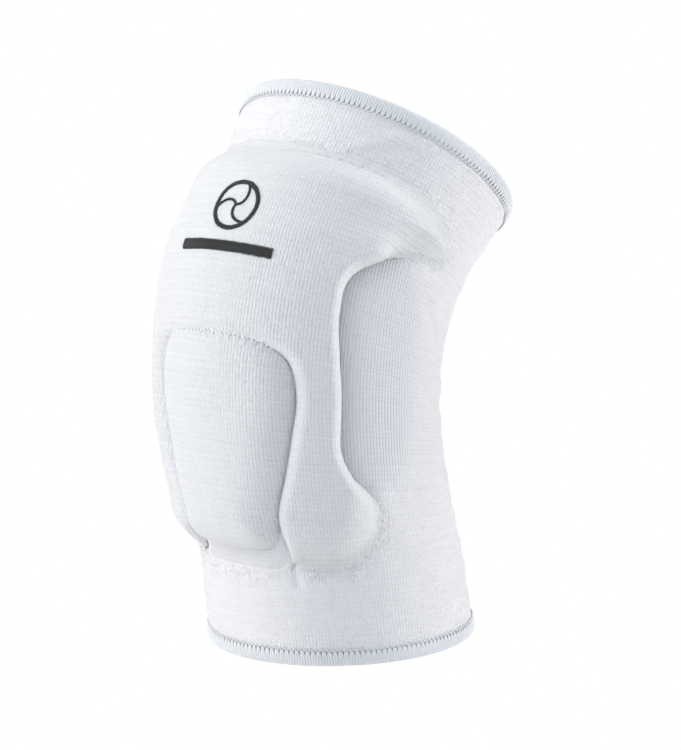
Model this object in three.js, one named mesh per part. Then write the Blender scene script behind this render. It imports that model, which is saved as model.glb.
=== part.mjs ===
// A volleyball knee pad, shaped as it is on a slightly bent leg: a knitted elastic sleeve with an
// overlocked hem at each end, a horseshoe-shaped pad over the knee and down both sides, and a
// separate pad in the horseshoe's mouth. Millimetres, +Z up, the front faces -Y, and the origin is
// the middle of the leg at the knee.
import * as THREE from "three";
import { mergeVertices } from "three/addons/utils/BufferGeometryUtils.js";

// Driving sizes.
const SLEEVE_LENGTH = 235; // hem to hem, measured down the front
const KNEE_RADIUS = 53; // outer face of the sleeve at the knee, at the side
const WALL = 2.2; // the elastic knit
const HEM_HEIGHT = 5.5;
const HEM_THICKNESS = 3.6;
const PAD_THICKNESS = 12.6; // foam and cover of the horseshoe pad
const KNEE_PAD_CROWN = 0.2; // how far the pad in its mouth stands out beyond it
const COVER_THICKNESS = 1.2; // the cover alone, where it is sewn down round the foam
const ARM_ROLL = 6; // rounding of the horseshoe's inner edge
const OUTER_SLOPE = 1.8; // how softly the foam's outer edges rise: 1 is a quarter of an ellipse
const KNEE_PAD_ROLL = 15; // rounding of the knee pad's edge
const CREASE = 0.7; // between the two pads
const SEAT_GAP = 0.4; // under the pads, and between sleeve and hem

// Fineness of the faceted surfaces.
const SIDES = 52; // round the leg
const SLEEVE_STEPS = 22; // along the leg
const LINES_PER_ROW = 2; // from one row of a pad's table to the next
const MERGE_DISTANCE = 1e-3;

const DEGREE = Math.PI / 180;
const KNEE_PAD_THICKNESS = PAD_THICKNESS + KNEE_PAD_CROWN;
// Pads are laid out flat on a cylinder of this radius, to measure from their edges.
const WRAP_RADIUS = KNEE_RADIUS + PAD_THICKNESS / 2;

// The sleeve's sections from the lower hem to the upper one. along, rise and back are shares of
// the sleeve's length: the way up the front, and the place of the section's middle. lean is the
// section's tilt towards the back, in degrees. side, front and rear are shares of the knee radius.
const SLEEVE_ROWS = [
  { along: 0.0, rise: -0.434, back: 0.064, lean: -3, side: 1.01, front: 0.98, rear: 1.01 },
  { along: 0.17, rise: -0.284, back: 0.038, lean: 0, side: 1.0, front: 0.975, rear: 0.975 },
  { along: 0.33, rise: -0.136, back: 0.013, lean: 5, side: 0.985, front: 0.965, rear: 0.905 },
  { along: 0.5, rise: 0.0, back: 0.0, lean: 14, side: 1.0, front: 0.985, rear: 0.87 },
  { along: 0.67, rise: 0.136, back: 0.013, lean: 25, side: 1.01, front: 0.965, rear: 0.905 },
  { along: 0.83, rise: 0.26, back: 0.064, lean: 32, side: 1.035, front: 0.95, rear: 0.98 },
  { along: 1.0, rise: 0.387, back: 0.153, lean: 36, side: 1.12, front: 1.02, rear: 1.105 },
];

// Folds of the knit behind the knee. around is in degrees from the front, along and width are
// shares of the sleeve's length, reach is in degrees to each side, and depth is in millimetres.
const FOLDS = [
  { around: 180, along: 0.58, reach: 42, width: 0.016, depth: 1.3 },
  { around: 168, along: 0.5, reach: 34, width: 0.015, depth: 1.5 },
  { around: 192, along: 0.43, reach: 38, width: 0.016, depth: 1.2 },
];

// One side of the horseshoe pad, from the foot of its arm up to the middle of its top. Each row is
// a line across the foam, from the mouth's edge or the front's middle line to the outer edge, in
// degrees round the leg from the front and shares of the sleeve's length. keep is the share of the
// thickness that is left in the mouth's crease. At the outer edge, roll is how far in the foam has
// its full height, and flange is how far the cover goes on, in millimetres. thick is a share.
const ARM_ROWS = [
  { inAround: 26, inAlong: 0.176, keep: 0, outAround: 27.5, outAlong: 0.173, roll: 8, thick: 0.35, flange: 4 },
  { inAround: 26.3, inAlong: 0.194, keep: 0, outAround: 33, outAlong: 0.186, roll: 9, thick: 0.35, flange: 7.5 },
  { inAround: 24.8, inAlong: 0.216, keep: 0.05, outAround: 46, outAlong: 0.187, roll: 11, thick: 0.42, flange: 8 },
  { inAround: 23.7, inAlong: 0.238, keep: 0.15, outAround: 58, outAlong: 0.218, roll: 11, thick: 0.5, flange: 7 },
  { inAround: 23.7, inAlong: 0.262, keep: 0.2, outAround: 69, outAlong: 0.247, roll: 10, thick: 0.6, flange: 6 },
  { inAround: 25, inAlong: 0.29, keep: 0.25, outAround: 74.5, outAlong: 0.277, roll: 8, thick: 0.7, flange: 4 },
  { inAround: 27.2, inAlong: 0.32, keep: 0.25, outAround: 66, outAlong: 0.311, roll: 6, thick: 0.85, flange: 1.5 },
  { inAround: 29.3, inAlong: 0.352, keep: 0.25, outAround: 55, outAlong: 0.341, roll: 5, thick: 0.95, flange: 0.8 },
  { inAround: 32, inAlong: 0.405, keep: 0.25, outAround: 51, outAlong: 0.395, roll: 5, thick: 1, flange: 0.8 },
  { inAround: 34.2, inAlong: 0.465, keep: 0.25, outAround: 52, outAlong: 0.475, roll: 5, thick: 1, flange: 0.8 },
  { inAround: 32.8, inAlong: 0.509, keep: 0.3, outAround: 50.3, outAlong: 0.555, roll: 5, thick: 1, flange: 0.8 },
  { inAround: 29, inAlong: 0.534, keep: 0.45, outAround: 48.5, outAlong: 0.62, roll: 5, thick: 1, flange: 0.8 },
  { inAround: 20, inAlong: 0.549, keep: 0.7, outAround: 48.8, outAlong: 0.67, roll: 5, thick: 1, flange: 0.8 },
  { inAround: 9, inAlong: 0.552, keep: 0.8, outAround: 52.5, outAlong: 0.703, roll: 5, thick: 1, flange: 0.8 },
  { inAround: 0, inAlong: 0.552, keep: 0.8, outAround: 59.5, outAlong: 0.731, roll: 5, thick: 1, flange: 0.8 },
  { inAround: 0, inAlong: 0.64, keep: 0.8, outAround: 66, outAlong: 0.757, roll: 6, thick: 1, flange: 1.2 },
  { inAround: 0, inAlong: 0.71, keep: 0.8, outAround: 74, outAlong: 0.777, roll: 7, thick: 0.95, flange: 2 },
  { inAround: 0, inAlong: 0.765, keep: 0.8, outAround: 88, outAlong: 0.783, roll: 8, thick: 0.85, flange: 4 },
  { inAround: 0, inAlong: 0.795, keep: 0.8, outAround: 101, outAlong: 0.804, roll: 12, thick: 0.85, flange: 5 },
  { inAround: 0, inAlong: 0.82, keep: 0.8, outAround: 88, outAlong: 0.835, roll: 18, thick: 0.95, flange: 6 },
  { inAround: 0, inAlong: 0.84, keep: 0.8, outAround: 66, outAlong: 0.862, roll: 22, thick: 1, flange: 7 },
  { inAround: 0, inAlong: 0.853, keep: 0.8, outAround: 44, outAlong: 0.875, roll: 22, thick: 1, flange: 7 },
  { inAround: 0, inAlong: 0.862, keep: 0.8, outAround: 22, outAlong: 0.873, roll: 22, thick: 1, flange: 7 },
  { inAround: 0, inAlong: 0.866, keep: 0.8, outAround: 0, outAlong: 0.866, roll: 22, thick: 1, flange: 7 },
];
// The mouth's edge from this row up is also the knee pad's edge. Below it the knee pad's foam and
// cover have rows of their own, from the middle out.
const FIRST_SHARED_ROW = 4;
const KNEE_PAD_FOOT_ROWS = [
  { foamAround: 0, foamAlong: 0.208, coverAround: 0, coverAlong: 0.168 },
  { foamAround: 9, foamAlong: 0.208, coverAround: 12, coverAlong: 0.168 },
  { foamAround: 16, foamAlong: 0.212, coverAround: 20.5, coverAlong: 0.171 },
  { foamAround: 20.3, foamAlong: 0.223, coverAround: 24, coverAlong: 0.186 },
  { foamAround: 22.6, foamAlong: 0.242, coverAround: 24.2, coverAlong: 0.222 },
  { foamAround: 23.7, foamAlong: 0.262, coverAround: 23.7, coverAlong: 0.262 },
];
const KNEE_PAD_MIDDLE_ALONG = 0.39;

// Shares of the way from a pad's inner edge or middle to its outer edge.
const ARM_COLUMNS = [0, 0.06, 0.18, 0.34, 0.5, 0.66, 0.8, 0.92, 1];
const KNEE_PAD_COLUMNS = [0, 0.35, 0.6, 0.78, 0.9, 0.97, 1];

// The value of a table's column at a place between its rows, as a cubic through the rows that
// is level where the values turn or rest. Places are the values of the column place, or else the
// rows' own numbers.
function valueBetweenRows(rows, column, at, place) {
  const placeOf = (i) => (place ? rows[i][place] : i);
  const slopeAt = (i) => {
    const [a, b] = [Math.max(i - 1, 0), Math.min(i + 1, rows.length - 1)];
    const [before, here, after] = [a, i, b].map((row) => rows[row][column]);
    const turns = a < i && i < b && (here - before) * (after - here) <= 0;
    return turns ? 0 : (after - before) / (placeOf(b) - placeOf(a));
  };
  let i = 0;
  while (i < rows.length - 2 && placeOf(i + 1) <= at) i += 1;
  const step = placeOf(i + 1) - placeOf(i);
  const s = (at - placeOf(i)) / step;
  return (
    rows[i][column] * (2 * s ** 3 - 3 * s ** 2 + 1) +
    rows[i + 1][column] * (3 * s ** 2 - 2 * s ** 3) +
    step * slopeAt(i) * (s ** 3 - 2 * s ** 2 + s) +
    step * slopeAt(i + 1) * (s ** 3 - s ** 2)
  );
}

// How far the folds move the knit out there: each is a soft groove round part of the leg.
function foldDepth(around, along) {
  let depth = 0;
  for (const fold of FOLDS) {
    const turn = THREE.MathUtils.euclideanModulo(around - fold.around + 180, 360) - 180;
    depth -= fold.depth * Math.exp(-((turn / fold.reach) ** 2) - ((along - fold.along) / fold.width) ** 2);
  }
  return depth;
}

// The point at an angle round the leg, in degrees from the front towards +X, and a share of the
// way up the sleeve, a distance out from the sleeve's outer face.
function onLeg(around, along, out) {
  const row = (column) => valueBetweenRows(SLEEVE_ROWS, column, along, "along");
  const turn = around * DEGREE;
  const lift = out + foldDepth(around, along);
  const reach = Math.cos(turn) > 0 ? row("front") : row("rear");
  const forward = (reach * KNEE_RADIUS + lift) * Math.cos(turn);
  const lean = row("lean") * DEGREE;
  return new THREE.Vector3(
    (row("side") * KNEE_RADIUS + lift) * Math.sin(turn),
    row("back") * SLEEVE_LENGTH - forward * Math.cos(lean),
    row("rise") * SLEEVE_LENGTH + forward * Math.sin(lean),
  );
}

// A closed body from faces of four corners, each anticlockwise seen from outside. Corners that
// coincide are joined, and the triangles that this flattens are dropped.
function bodyFromFaces(faces) {
  const corners = faces.flatMap(([a, b, c, d]) => [a, b, c, a, c, d]);
  const merged = mergeVertices(new THREE.BufferGeometry().setFromPoints(corners), MERGE_DISTANCE);
  const kept = [];
  for (let i = 0; i < merged.index.count; i += 3) {
    const [a, b, c] = [0, 1, 2].map((k) => merged.index.getX(i + k));
    if (a !== b && b !== c && c !== a) kept.push(a, b, c);
  }
  merged.setIndex(kept);
  merged.computeVertexNormals();
  return merged;
}

// The faces between neighbouring lines of points, which face out where the lines go up and each
// line's points go round towards +X.
function facesBetween(lines) {
  const faces = [];
  for (let i = 0; i + 1 < lines.length; i += 1) {
    for (let j = 0; j + 1 < lines[i].length; j += 1) {
      faces.push([lines[i][j], lines[i][j + 1], lines[i + 1][j + 1], lines[i + 1][j]]);
    }
  }
  return faces;
}

// A closed loop of cross-section, swept round the leg. The loop's points are [along, out] pairs,
// which go up the outer face and down the inner one.
function sweptRoundLeg(loop) {
  const closed = [...loop, loop[0]];
  const rings = closed.map(([along, out]) =>
    Array.from({ length: SIDES + 1 }, (_, i) => onLeg(((i % SIDES) * 360) / SIDES, along, out)),
  );
  return bodyFromFaces(facesBetween(rings));
}

// The elastic tube, which stops short of the hems.
function sleeveGeometry() {
  const end = (HEM_HEIGHT + SEAT_GAP) / SLEEVE_LENGTH;
  const stepAlong = (i) => end + ((1 - 2 * end) * i) / SLEEVE_STEPS;
  const up = Array.from({ length: SLEEVE_STEPS + 1 }, (_, i) => stepAlong(i));
  const outer = up.map((along) => [along, 0]);
  const inner = up.reverse().map((along) => [along, -WALL]);
  return sweptRoundLeg([...outer, ...inner]);
}

// A rolled and overlocked edge. middle is the share of the sleeve's length at its mid-height.
function hemGeometry(middle) {
  const corner = 0.55; // of each half size, flat before the rounding starts
  const profile = [
    [-1, corner], [-corner, 1], [corner, 1], [1, corner],
    [1, -corner], [corner, -1], [-corner, -1], [-1, -corner],
  ];
  return sweptRoundLeg(
    profile.map(([up, out]) => [
      middle + (up * HEM_HEIGHT) / 2 / SLEEVE_LENGTH,
      (out * HEM_THICKNESS - WALL) / 2,
    ]),
  );
}

// Flat places of the pads' layout, as points in millimetres: across from the front, and up.
const laidOut = (around, along) => new THREE.Vector2(around * DEGREE * WRAP_RADIUS, along * SLEEVE_LENGTH);
const aroundOf = (flat) => flat.x / DEGREE / WRAP_RADIUS;
const alongOf = (flat) => flat.y / SLEEVE_LENGTH;
const mirrored = (flat) => new THREE.Vector2(-flat.x, flat.y);

// The share of a pad's height at a flat place, which is the least that any piece of the foam's
// edges allows. An edge is a line of points, each with its keep, its roll and its slope.
function foamHeight(flat, edges) {
  let height = 1;
  for (const edge of edges) {
    for (let i = 0; i + 1 < edge.length; i += 1) {
      const [a, b] = [edge[i], edge[i + 1]];
      const side = b.flat.clone().sub(a.flat);
      const share = THREE.MathUtils.clamp(flat.clone().sub(a.flat).dot(side) / side.lengthSq(), 0, 1);
      const distance = a.flat.clone().addScaledVector(side, share).distanceTo(flat);
      const [keep, roll] = ["keep", "roll"].map((name) => THREE.MathUtils.lerp(a[name], b[name], share));
      height = Math.min(height, keep + (1 - keep) * rounding(distance / roll) ** a.slope);
    }
  }
  return height;
}

// A rounded edge's height at a share of its width, as a quarter of an ellipse.
const rounding = (share) => Math.sqrt(1 - (1 - Math.min(share, 1)) ** 2);

// The row of the horseshoe's table at which its inner edge reaches the middle.
const MEETING_ROW = ARM_ROWS.findIndex((row) => row.inAround === 0);

// The flat points of an edge that two columns of a table give, from its first row to its last.
function edgePoints(rows, around, along) {
  return Array.from({ length: (rows.length - 1) * LINES_PER_ROW + 1 }, (_, i) => {
    const at = (column) => valueBetweenRows(rows, column, i / LINES_PER_ROW);
    return laidOut(at(around), at(along));
  });
}

const ARM_INNER_EDGE = edgePoints(ARM_ROWS, "inAround", "inAlong");
const ARM_OUTER_EDGE = edgePoints(ARM_ROWS, "outAround", "outAlong");

// How far the middle of a facet of that width dips below the round surface it is on.
const facetDip = (width) => width ** 2 / 8 / WRAP_RADIUS;

// A column of the horseshoe's table at one of those points.
const armAt = (column, point) => valueBetweenRows(ARM_ROWS, column, point / LINES_PER_ROW);

// The direction out of a line of flat points at each of them, to the right of the way along it,
// and straight up or down on the front's middle line.
function outwardDirections(line) {
  return line.map((flat, i) => {
    const [before, after] = [line[Math.max(i - 1, 0)], line[Math.min(i + 1, line.length - 1)]];
    const way = after.clone().sub(before);
    return new THREE.Vector2(flat.x === 0 ? 0 : way.y, -way.x).normalize();
  });
}

// The horseshoe pad: two mirrored arms that meet along the front above the knee pad.
function horseshoeGeometry() {
  const meeting = MEETING_ROW * LINES_PER_ROW;
  const mouth = ARM_INNER_EDGE.slice(0, meeting + 1);
  const edges = [
    mouth.map((flat, i) => ({ flat, keep: armAt("keep", i), roll: ARM_ROLL, slope: 1 })),
    mouth.map((flat, i) => ({ flat: mirrored(flat), keep: armAt("keep", i), roll: ARM_ROLL, slope: 1 })),
    ARM_OUTER_EDGE.map((flat, i) => ({ flat, keep: 0, roll: armAt("roll", i), slope: OUTER_SLOPE })),
  ];
  const outward = outwardDirections(ARM_OUTER_EDGE);
  const widestStep = Math.max(...ARM_COLUMNS.slice(1).map((share, i) => share - ARM_COLUMNS[i]));
  const facetWidths = ARM_OUTER_EDGE.slice(1).map((outer, i) =>
    Math.max(Math.abs(outer.x - ARM_OUTER_EDGE[i].x), widestStep * (outer.x - ARM_INNER_EDGE[i + 1].x)),
  );
  const seat = SEAT_GAP + facetDip(Math.max(...facetWidths));
  const coverTop = SEAT_GAP + COVER_THICKNESS;
  const lines = ARM_OUTER_EDGE.map((outer, i) => {
    const foam = ARM_COLUMNS.map((share) => {
      const flat = ARM_INNER_EDGE[i].clone().lerp(outer, share);
      const height = (PAD_THICKNESS - COVER_THICKNESS) * armAt("thick", i) * foamHeight(flat, edges);
      return { flat, seat, top: coverTop + height };
    });
    const rim = outer.clone().addScaledVector(outward[i], armAt("flange", i));
    return [...foam, { flat: rim, seat, top: coverTop }];
  });
  const layer = (side, face) =>
    lines.map((line) =>
      line.map((place) => onLeg(side * aroundOf(place.flat), alongOf(place.flat), place[face])),
    );
  const faces = [];
  for (const side of [1, -1]) {
    const top = layer(side, "top");
    const under = layer(side, "seat");
    const half = [
      ...facesBetween(top),
      ...facesBetween(under).map((face) => face.reverse()),
      ...facesBetween([under[0], top[0]]),
      ...facesBetween([under, top].map((face) => face.map((line) => line.at(-1)))),
      ...facesBetween([top, under].map((face) => face.slice(0, meeting + 1).map((line) => line[0]))),
    ];
    faces.push(...(side > 0 ? half : half.map((face) => face.reverse())));
  }
  return bodyFromFaces(faces);
}

// The pad in the horseshoe's mouth: rings round its middle, up to an edge that keeps the crease
// clear of the horseshoe, and its cover's edge below the foam.
function kneePadGeometry() {
  const firstShared = FIRST_SHARED_ROW * LINES_PER_ROW;
  const mouth = ARM_INNER_EDGE.slice(firstShared, MEETING_ROW * LINES_PER_ROW + 1);
  const wholeEdge = (around, along) => {
    const foot = edgePoints(KNEE_PAD_FOOT_ROWS, around, along).slice(0, -1);
    const half = [...foot, ...mouth];
    const outward = outwardDirections(half);
    const side = half.map((point, i) => {
      const flat = point.clone().addScaledVector(outward[i], -CREASE);
      const keep = i < foot.length ? 0 : armAt("keep", firstShared + i - foot.length);
      return { flat, keep, roll: KNEE_PAD_ROLL, slope: 1 };
    });
    const otherSide = side.slice(1, -1).reverse();
    return [...side, ...otherSide.map((point) => ({ ...point, flat: mirrored(point.flat) })), side[0]];
  };
  const foamEdge = wholeEdge("foamAround", "foamAlong");
  const coverEdge = wholeEdge("coverAround", "coverAlong");
  const middle = laidOut(0, KNEE_PAD_MIDDLE_ALONG);
  const coverTop = SEAT_GAP + COVER_THICKNESS;
  const foam = KNEE_PAD_COLUMNS.map((share) =>
    foamEdge.map((point) => {
      const flat = middle.clone().lerp(point.flat, share);
      return { flat, top: coverTop + (KNEE_PAD_THICKNESS - COVER_THICKNESS) * foamHeight(flat, [foamEdge]) };
    }),
  );
  const cover = coverEdge.map(({ flat }, i) => {
    const meetsFoam = flat.equals(foamEdge[i].flat);
    return { flat, top: meetsFoam ? foam.at(-1)[i].top : coverTop };
  });
  const placed = (place, out) => onLeg(aroundOf(place.flat), alongOf(place.flat), out);
  const rings = [...foam, cover];
  const top = rings.map((ring) => ring.map((place) => placed(place, place.top)));
  const under = rings.map((ring) => ring.map((place) => placed(place, SEAT_GAP)));
  return bodyFromFaces([
    ...facesBetween(top).map((face) => face.reverse()),
    ...facesBetween(under),
    ...facesBetween([under.at(-1), top.at(-1)]),
  ]);
}

function namedMesh(name, geometry, color, roughness) {
  const material = new THREE.MeshStandardMaterial({ color, roughness, metalness: 0 });
  const mesh = new THREE.Mesh(geometry, material);
  mesh.name = name;
  return mesh;
}

const hemMiddle = HEM_HEIGHT / 2 / SLEEVE_LENGTH;
const kneePad = new THREE.Group();
kneePad.add(
  namedMesh("sleeve", sleeveGeometry(), 0xe9ebee, 0.9),
  namedMesh("bottom_hem", hemGeometry(hemMiddle), 0xdfe4ea, 0.85),
  namedMesh("top_hem", hemGeometry(1 - hemMiddle), 0xdfe4ea, 0.85),
  namedMesh("horseshoe_pad", horseshoeGeometry(), 0xf2f3f4, 0.9),
  namedMesh("knee_pad", kneePadGeometry(), 0xf4f5f6, 0.9),
);

export default kneePad;
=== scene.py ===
"""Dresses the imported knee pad: elastic knit, overlocked hems, and two moulded pads under knitted covers.

Everything is in metres in the part's own frame: +Z is up, the front faces -Y, and the origin is the
middle of the leg at the knee. Places on the pad are given as an angle round the leg from the front,
in degrees towards +X, and as a share of the way up the sleeve's front.
"""

import math

import bmesh
import bpy
import numpy as np
from bpy.props import FloatProperty, FloatVectorProperty, PointerProperty
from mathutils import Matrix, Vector


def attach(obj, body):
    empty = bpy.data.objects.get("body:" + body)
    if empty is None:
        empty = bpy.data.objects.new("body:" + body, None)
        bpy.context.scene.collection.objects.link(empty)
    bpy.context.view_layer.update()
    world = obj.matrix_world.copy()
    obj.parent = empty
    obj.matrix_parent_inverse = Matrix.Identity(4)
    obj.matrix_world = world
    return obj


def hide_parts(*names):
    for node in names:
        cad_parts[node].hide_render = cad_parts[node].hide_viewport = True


bl_info = {
    "name": "Volleyball Knee Pad",
    "version": (1, 0, 0),
    "blender": (4, 5, 0),
    "location": "3D View > Sidebar > Knee Pad",
    "description": "Makes a white volleyball knee pad with its studio",
    "category": "Add Mesh",
}

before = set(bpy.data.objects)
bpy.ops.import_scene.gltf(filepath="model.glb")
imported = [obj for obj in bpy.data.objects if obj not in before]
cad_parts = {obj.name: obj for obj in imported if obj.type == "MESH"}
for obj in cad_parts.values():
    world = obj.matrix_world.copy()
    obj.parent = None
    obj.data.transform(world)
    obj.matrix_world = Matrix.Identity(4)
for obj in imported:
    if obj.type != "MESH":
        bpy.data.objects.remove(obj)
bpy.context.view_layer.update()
BODY = "root"

MM = 0.001
DEGREE = math.pi / 180
PATTERN_UV = "knit_lay"
PANEL_MASK = "ribbed_panel"
SEAM_MASK = "crinkled_knit"


def table(columns, *rows):
    """A table's columns by name, each an array down its rows."""
    return dict(zip(columns.split(), np.array(rows, float).T))


# The sleeve's sections from the lower hem to the upper one. along, rise and back are shares of the
# sleeve's length, lean is in degrees, and side, front and rear are shares of the knee radius.
SLEEVE = table(
    "along rise back lean side front rear",
    (0.00, -0.434, 0.064, -3, 1.010, 0.980, 1.010),
    (0.17, -0.284, 0.038, 0, 1.000, 0.975, 0.975),
    (0.33, -0.136, 0.013, 5, 0.985, 0.965, 0.905),
    (0.50, 0.000, 0.000, 14, 1.000, 0.985, 0.870),
    (0.67, 0.136, 0.013, 25, 1.010, 0.965, 0.905),
    (0.83, 0.260, 0.064, 32, 1.035, 0.950, 0.980),
    (1.00, 0.387, 0.153, 36, 1.120, 1.020, 1.105),
)

# Folds of the knit behind the knee: soft grooves round part of the leg. reach is in degrees, width
# is a share of the sleeve's length, and depth is in millimetres.
FOLDS = table(
    "around along reach width depth",
    (180, 0.58, 42, 0.016, 1.3),
    (168, 0.50, 34, 0.015, 1.5),
    (192, 0.43, 38, 0.016, 1.2),
)

# One side of the horseshoe pad from the foot of its arm to the middle of its top. Each row is a
# line across the foam, from the mouth's edge or the front's middle line to the outer edge. keep is
# the share of the thickness left at the mouth. At the outer edge, roll is how far in the foam has
# its full height, slope is how softly it rises, and flange is how far the cover goes on, the
# lengths in millimetres. thick is a share of the pad's thickness.
ARM = table(
    "in_around in_along keep out_around out_along roll slope thick flange",
    (25.8, 0.190, 0.00, 27.5, 0.188, 8, 1.80, 0.40, 5.0),
    (25.6, 0.204, 0.00, 33.0, 0.196, 9, 1.80, 0.46, 7.0),
    (24.6, 0.222, 0.05, 44.0, 0.198, 12, 1.80, 0.56, 8.0),
    (23.7, 0.241, 0.15, 55.0, 0.216, 14, 2.00, 0.64, 7.0),
    (23.7, 0.262, 0.20, 62.0, 0.246, 15, 2.20, 0.72, 6.0),
    (25.0, 0.290, 0.25, 64.0, 0.278, 15, 2.30, 0.78, 4.5),
    (27.2, 0.320, 0.25, 61.0, 0.311, 9, 1.80, 0.87, 1.5),
    (29.3, 0.352, 0.25, 55.0, 0.341, 5, 1.20, 0.95, 0.3),
    (32.0, 0.405, 0.25, 51.0, 0.395, 5, 1.20, 1.00, 0.25),
    (34.2, 0.465, 0.25, 52.0, 0.475, 5, 1.20, 1.00, 0.25),
    (32.8, 0.509, 0.30, 50.3, 0.555, 5, 1.20, 1.00, 0.25),
    (29.0, 0.534, 0.55, 48.5, 0.620, 4.5, 1.15, 1.00, 0.25),
    (20.0, 0.549, 0.82, 48.8, 0.670, 4.5, 1.15, 1.00, 0.25),
    (9.0, 0.552, 0.92, 52.5, 0.703, 4.5, 1.15, 1.00, 0.3),
    (0.0, 0.552, 0.94, 59.5, 0.731, 5, 1.15, 1.00, 0.6),
    (0.0, 0.640, 0.80, 66.0, 0.757, 14, 2.10, 0.95, 1.6),
    (0.0, 0.710, 0.80, 74.0, 0.777, 23, 2.60, 0.86, 3.5),
    (0.0, 0.765, 0.80, 84.0, 0.785, 28, 2.80, 0.74, 5.0),
    (0.0, 0.795, 0.80, 93.0, 0.808, 30, 2.80, 0.70, 6.0),
    (0.0, 0.820, 0.80, 85.0, 0.835, 27, 2.50, 0.84, 7.0),
    (0.0, 0.840, 0.80, 66.0, 0.862, 23, 2.30, 0.97, 7.0),
    (0.0, 0.853, 0.80, 44.0, 0.875, 22, 2.30, 1.00, 7.0),
    (0.0, 0.862, 0.80, 22.0, 0.873, 22, 2.30, 1.00, 7.0),
    (0.0, 0.866, 0.80, 0.0, 0.866, 22, 2.30, 1.00, 7.0),
)
MEETING_ROW = 14  # where the two arms' inner edges meet, on the front's middle line
FIRST_SHARED_ROW = 4  # from here up to the meeting row, the mouth's edge is also the knee pad's

# The knee pad's foam and cover below the shared edge, from the middle line out.
FOOT = table(
    "foam_around foam_along cover_around cover_along",
    (0.0, 0.208, 0.0, 0.160),
    (9.0, 0.208, 12.0, 0.160),
    (16.0, 0.212, 21.5, 0.162),
    (20.3, 0.223, 26.2, 0.186),
    (22.6, 0.242, 25.0, 0.214),
    (23.7, 0.262, 23.7, 0.262),
)
KNEE_PAD_MIDDLE_ALONG = 0.39

# The ribbed panel of the sleeve in the notch behind each arm, as a middle and half widths. It fades
# from the first share of the way out to the second. In it the wales stand out by that share of
# their depth, and the white is painted cooler and darker by these shares of its channels, as the
# shade of the notch and its deep ribs.
RIBBED_PANEL = {"around": 63, "along": 0.545, "half_around": 26, "half_along": 0.235}
PANEL_FADE = (0.7, 1.12)
PANEL_WALE_DEPTH = 1.5
PANEL_SHADE = (0.945, 0.965, 0.99)

# Where the knit is crinkled: beside the horseshoe's rim from one row of its table to another, and
# along the first rows of the knee pad's cover. reach is how far to each side, in millimetres.
CRINKLED_RIMS = (
    {"first": 1, "last": 2, "reach": 4.5, "strength": 1.0},
    {"first": 2, "last": 6, "reach": 4.0, "strength": 0.9},
    {"first": 16, "last": 19, "reach": 4.0, "strength": 0.5},
    {"first": 19, "last": 23, "reach": 3.5, "strength": 0.4},
)
CRINKLED_FOOT = {"rows": 4, "reach": 4.0, "strength": 0.75}
RIM_STRIDE = 4  # distances from a rim are measured to every so many of its points

# The groove that the arms press into the sleeve beside their outer edge, in millimetres.
ARM_GROOVE = {"first": 6, "last": 15, "depth": 1.3, "width": 5.5}

# Behind the knee the sleeve is slack. It grows so between two angles from the front, lies in by
# depth in millimetres, and is that many times more finely uneven up the leg than across it.
SLACK = {"from": 80, "to": 125, "depth": 0.15, "fineness": 2.6}

# Soft unevenness. Each row is a wavelength and a height in millimetres, and the waves' seed.
SLEEVE_WAVES = ((34, 0.10, 3),)
SLACK_WAVES = ((26, 0.25, 8),)
HORSESHOE_WAVES = ((40, 0.16, 5), (11, 0.05, 6))
KNEE_PAD_WAVES = ((36, 0.14, 15), (11, 0.05, 16))
CRINKLE_WAVES = ((5, 0.11, 21), (2.8, 0.11, 22))
FOAM_HEIGHTS = (0.002, 0.008)  # the heights over the leg between which the foam's waves grow

# Gathers of the cover along a seam, in millimetres. The first ones lie along the mouth's top edge,
# on both pads, and the others along the horseshoe's outer edge. rows are those of the horseshoe's
# table between which they grow and die away.
MOUTH_PUCKERS = {"period": 3.4, "reach": 2.2, "depth": 0.35}
MOUTH_PUCKER_ROWS = (10.6, 12.6)
MOUTH_PUCKER_SHARES = (0.5, 0.54)  # the same on the knee pad, as shares of the way up
KNEE_PAD_PHASE = 1.2
BORDER_PUCKERS = {"period": 5, "reach": 5, "depth": 0.2}
FOOT_PUCKER_ROWS = ((0, 1), (5, 6))
TOP_PUCKER_ROWS = (17, 18)

# How the covers end, in millimetres. The horseshoe's rim falls to the sleeve in a curve of that
# power and the covers' edges sink into it. Beside the foot of an arm's mouth the cover lies flat.
RIM_POWER = 2.2
RIM_SINK = 0.15
KNEE_PAD_SINK = 0.5
KNEE_PAD_FLANGE = 2.0  # the width of flange from which the knee pad's cover sinks fully
FLAT_FOOT = {"rows": (2, 4.5), "sink": 0.3, "reach": 3.0}
THINNEST = 0.5
RING_POWER = 1.5  # the knee pad's rings lie closer together towards its edge, by this power

# The hems. The needle holes lie that share of half a hem's height from its middle, the sleeve ends
# that share of the height up, and the band has that share of the height and is thinner than the hem
# by so many threads.
HOLE_REACH = 1.0
SLEEVE_END = 0.65
BAND_HEIGHT = 0.84
BAND_THINNING = 1.7
BAND_SIDES = 24

# A stitch of the overlocking. hole, fan, pinch_at and pinch_width are shares of its way from the
# outer needle hole over the edge to the inner one: near its ends it dips into the holes and its two
# strands fan out, and over the edge they are pinched together. apart and slant are shares of the
# pitch. sunk, thickness and width are shares of the thread.
OVERLOCK = {
    "points": 19,
    "hole": 0.07,
    "fan": 0.1,
    "pinch": 0.3,
    "pinch_at": 0.46,
    "pinch_width": 0.04,
    "apart": 0.25,
    "slant": 0.12,
    "sunk": 0.3,
    "thickness": 0.7,
    "width": 1.95,
    "sides": 6,
}

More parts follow.
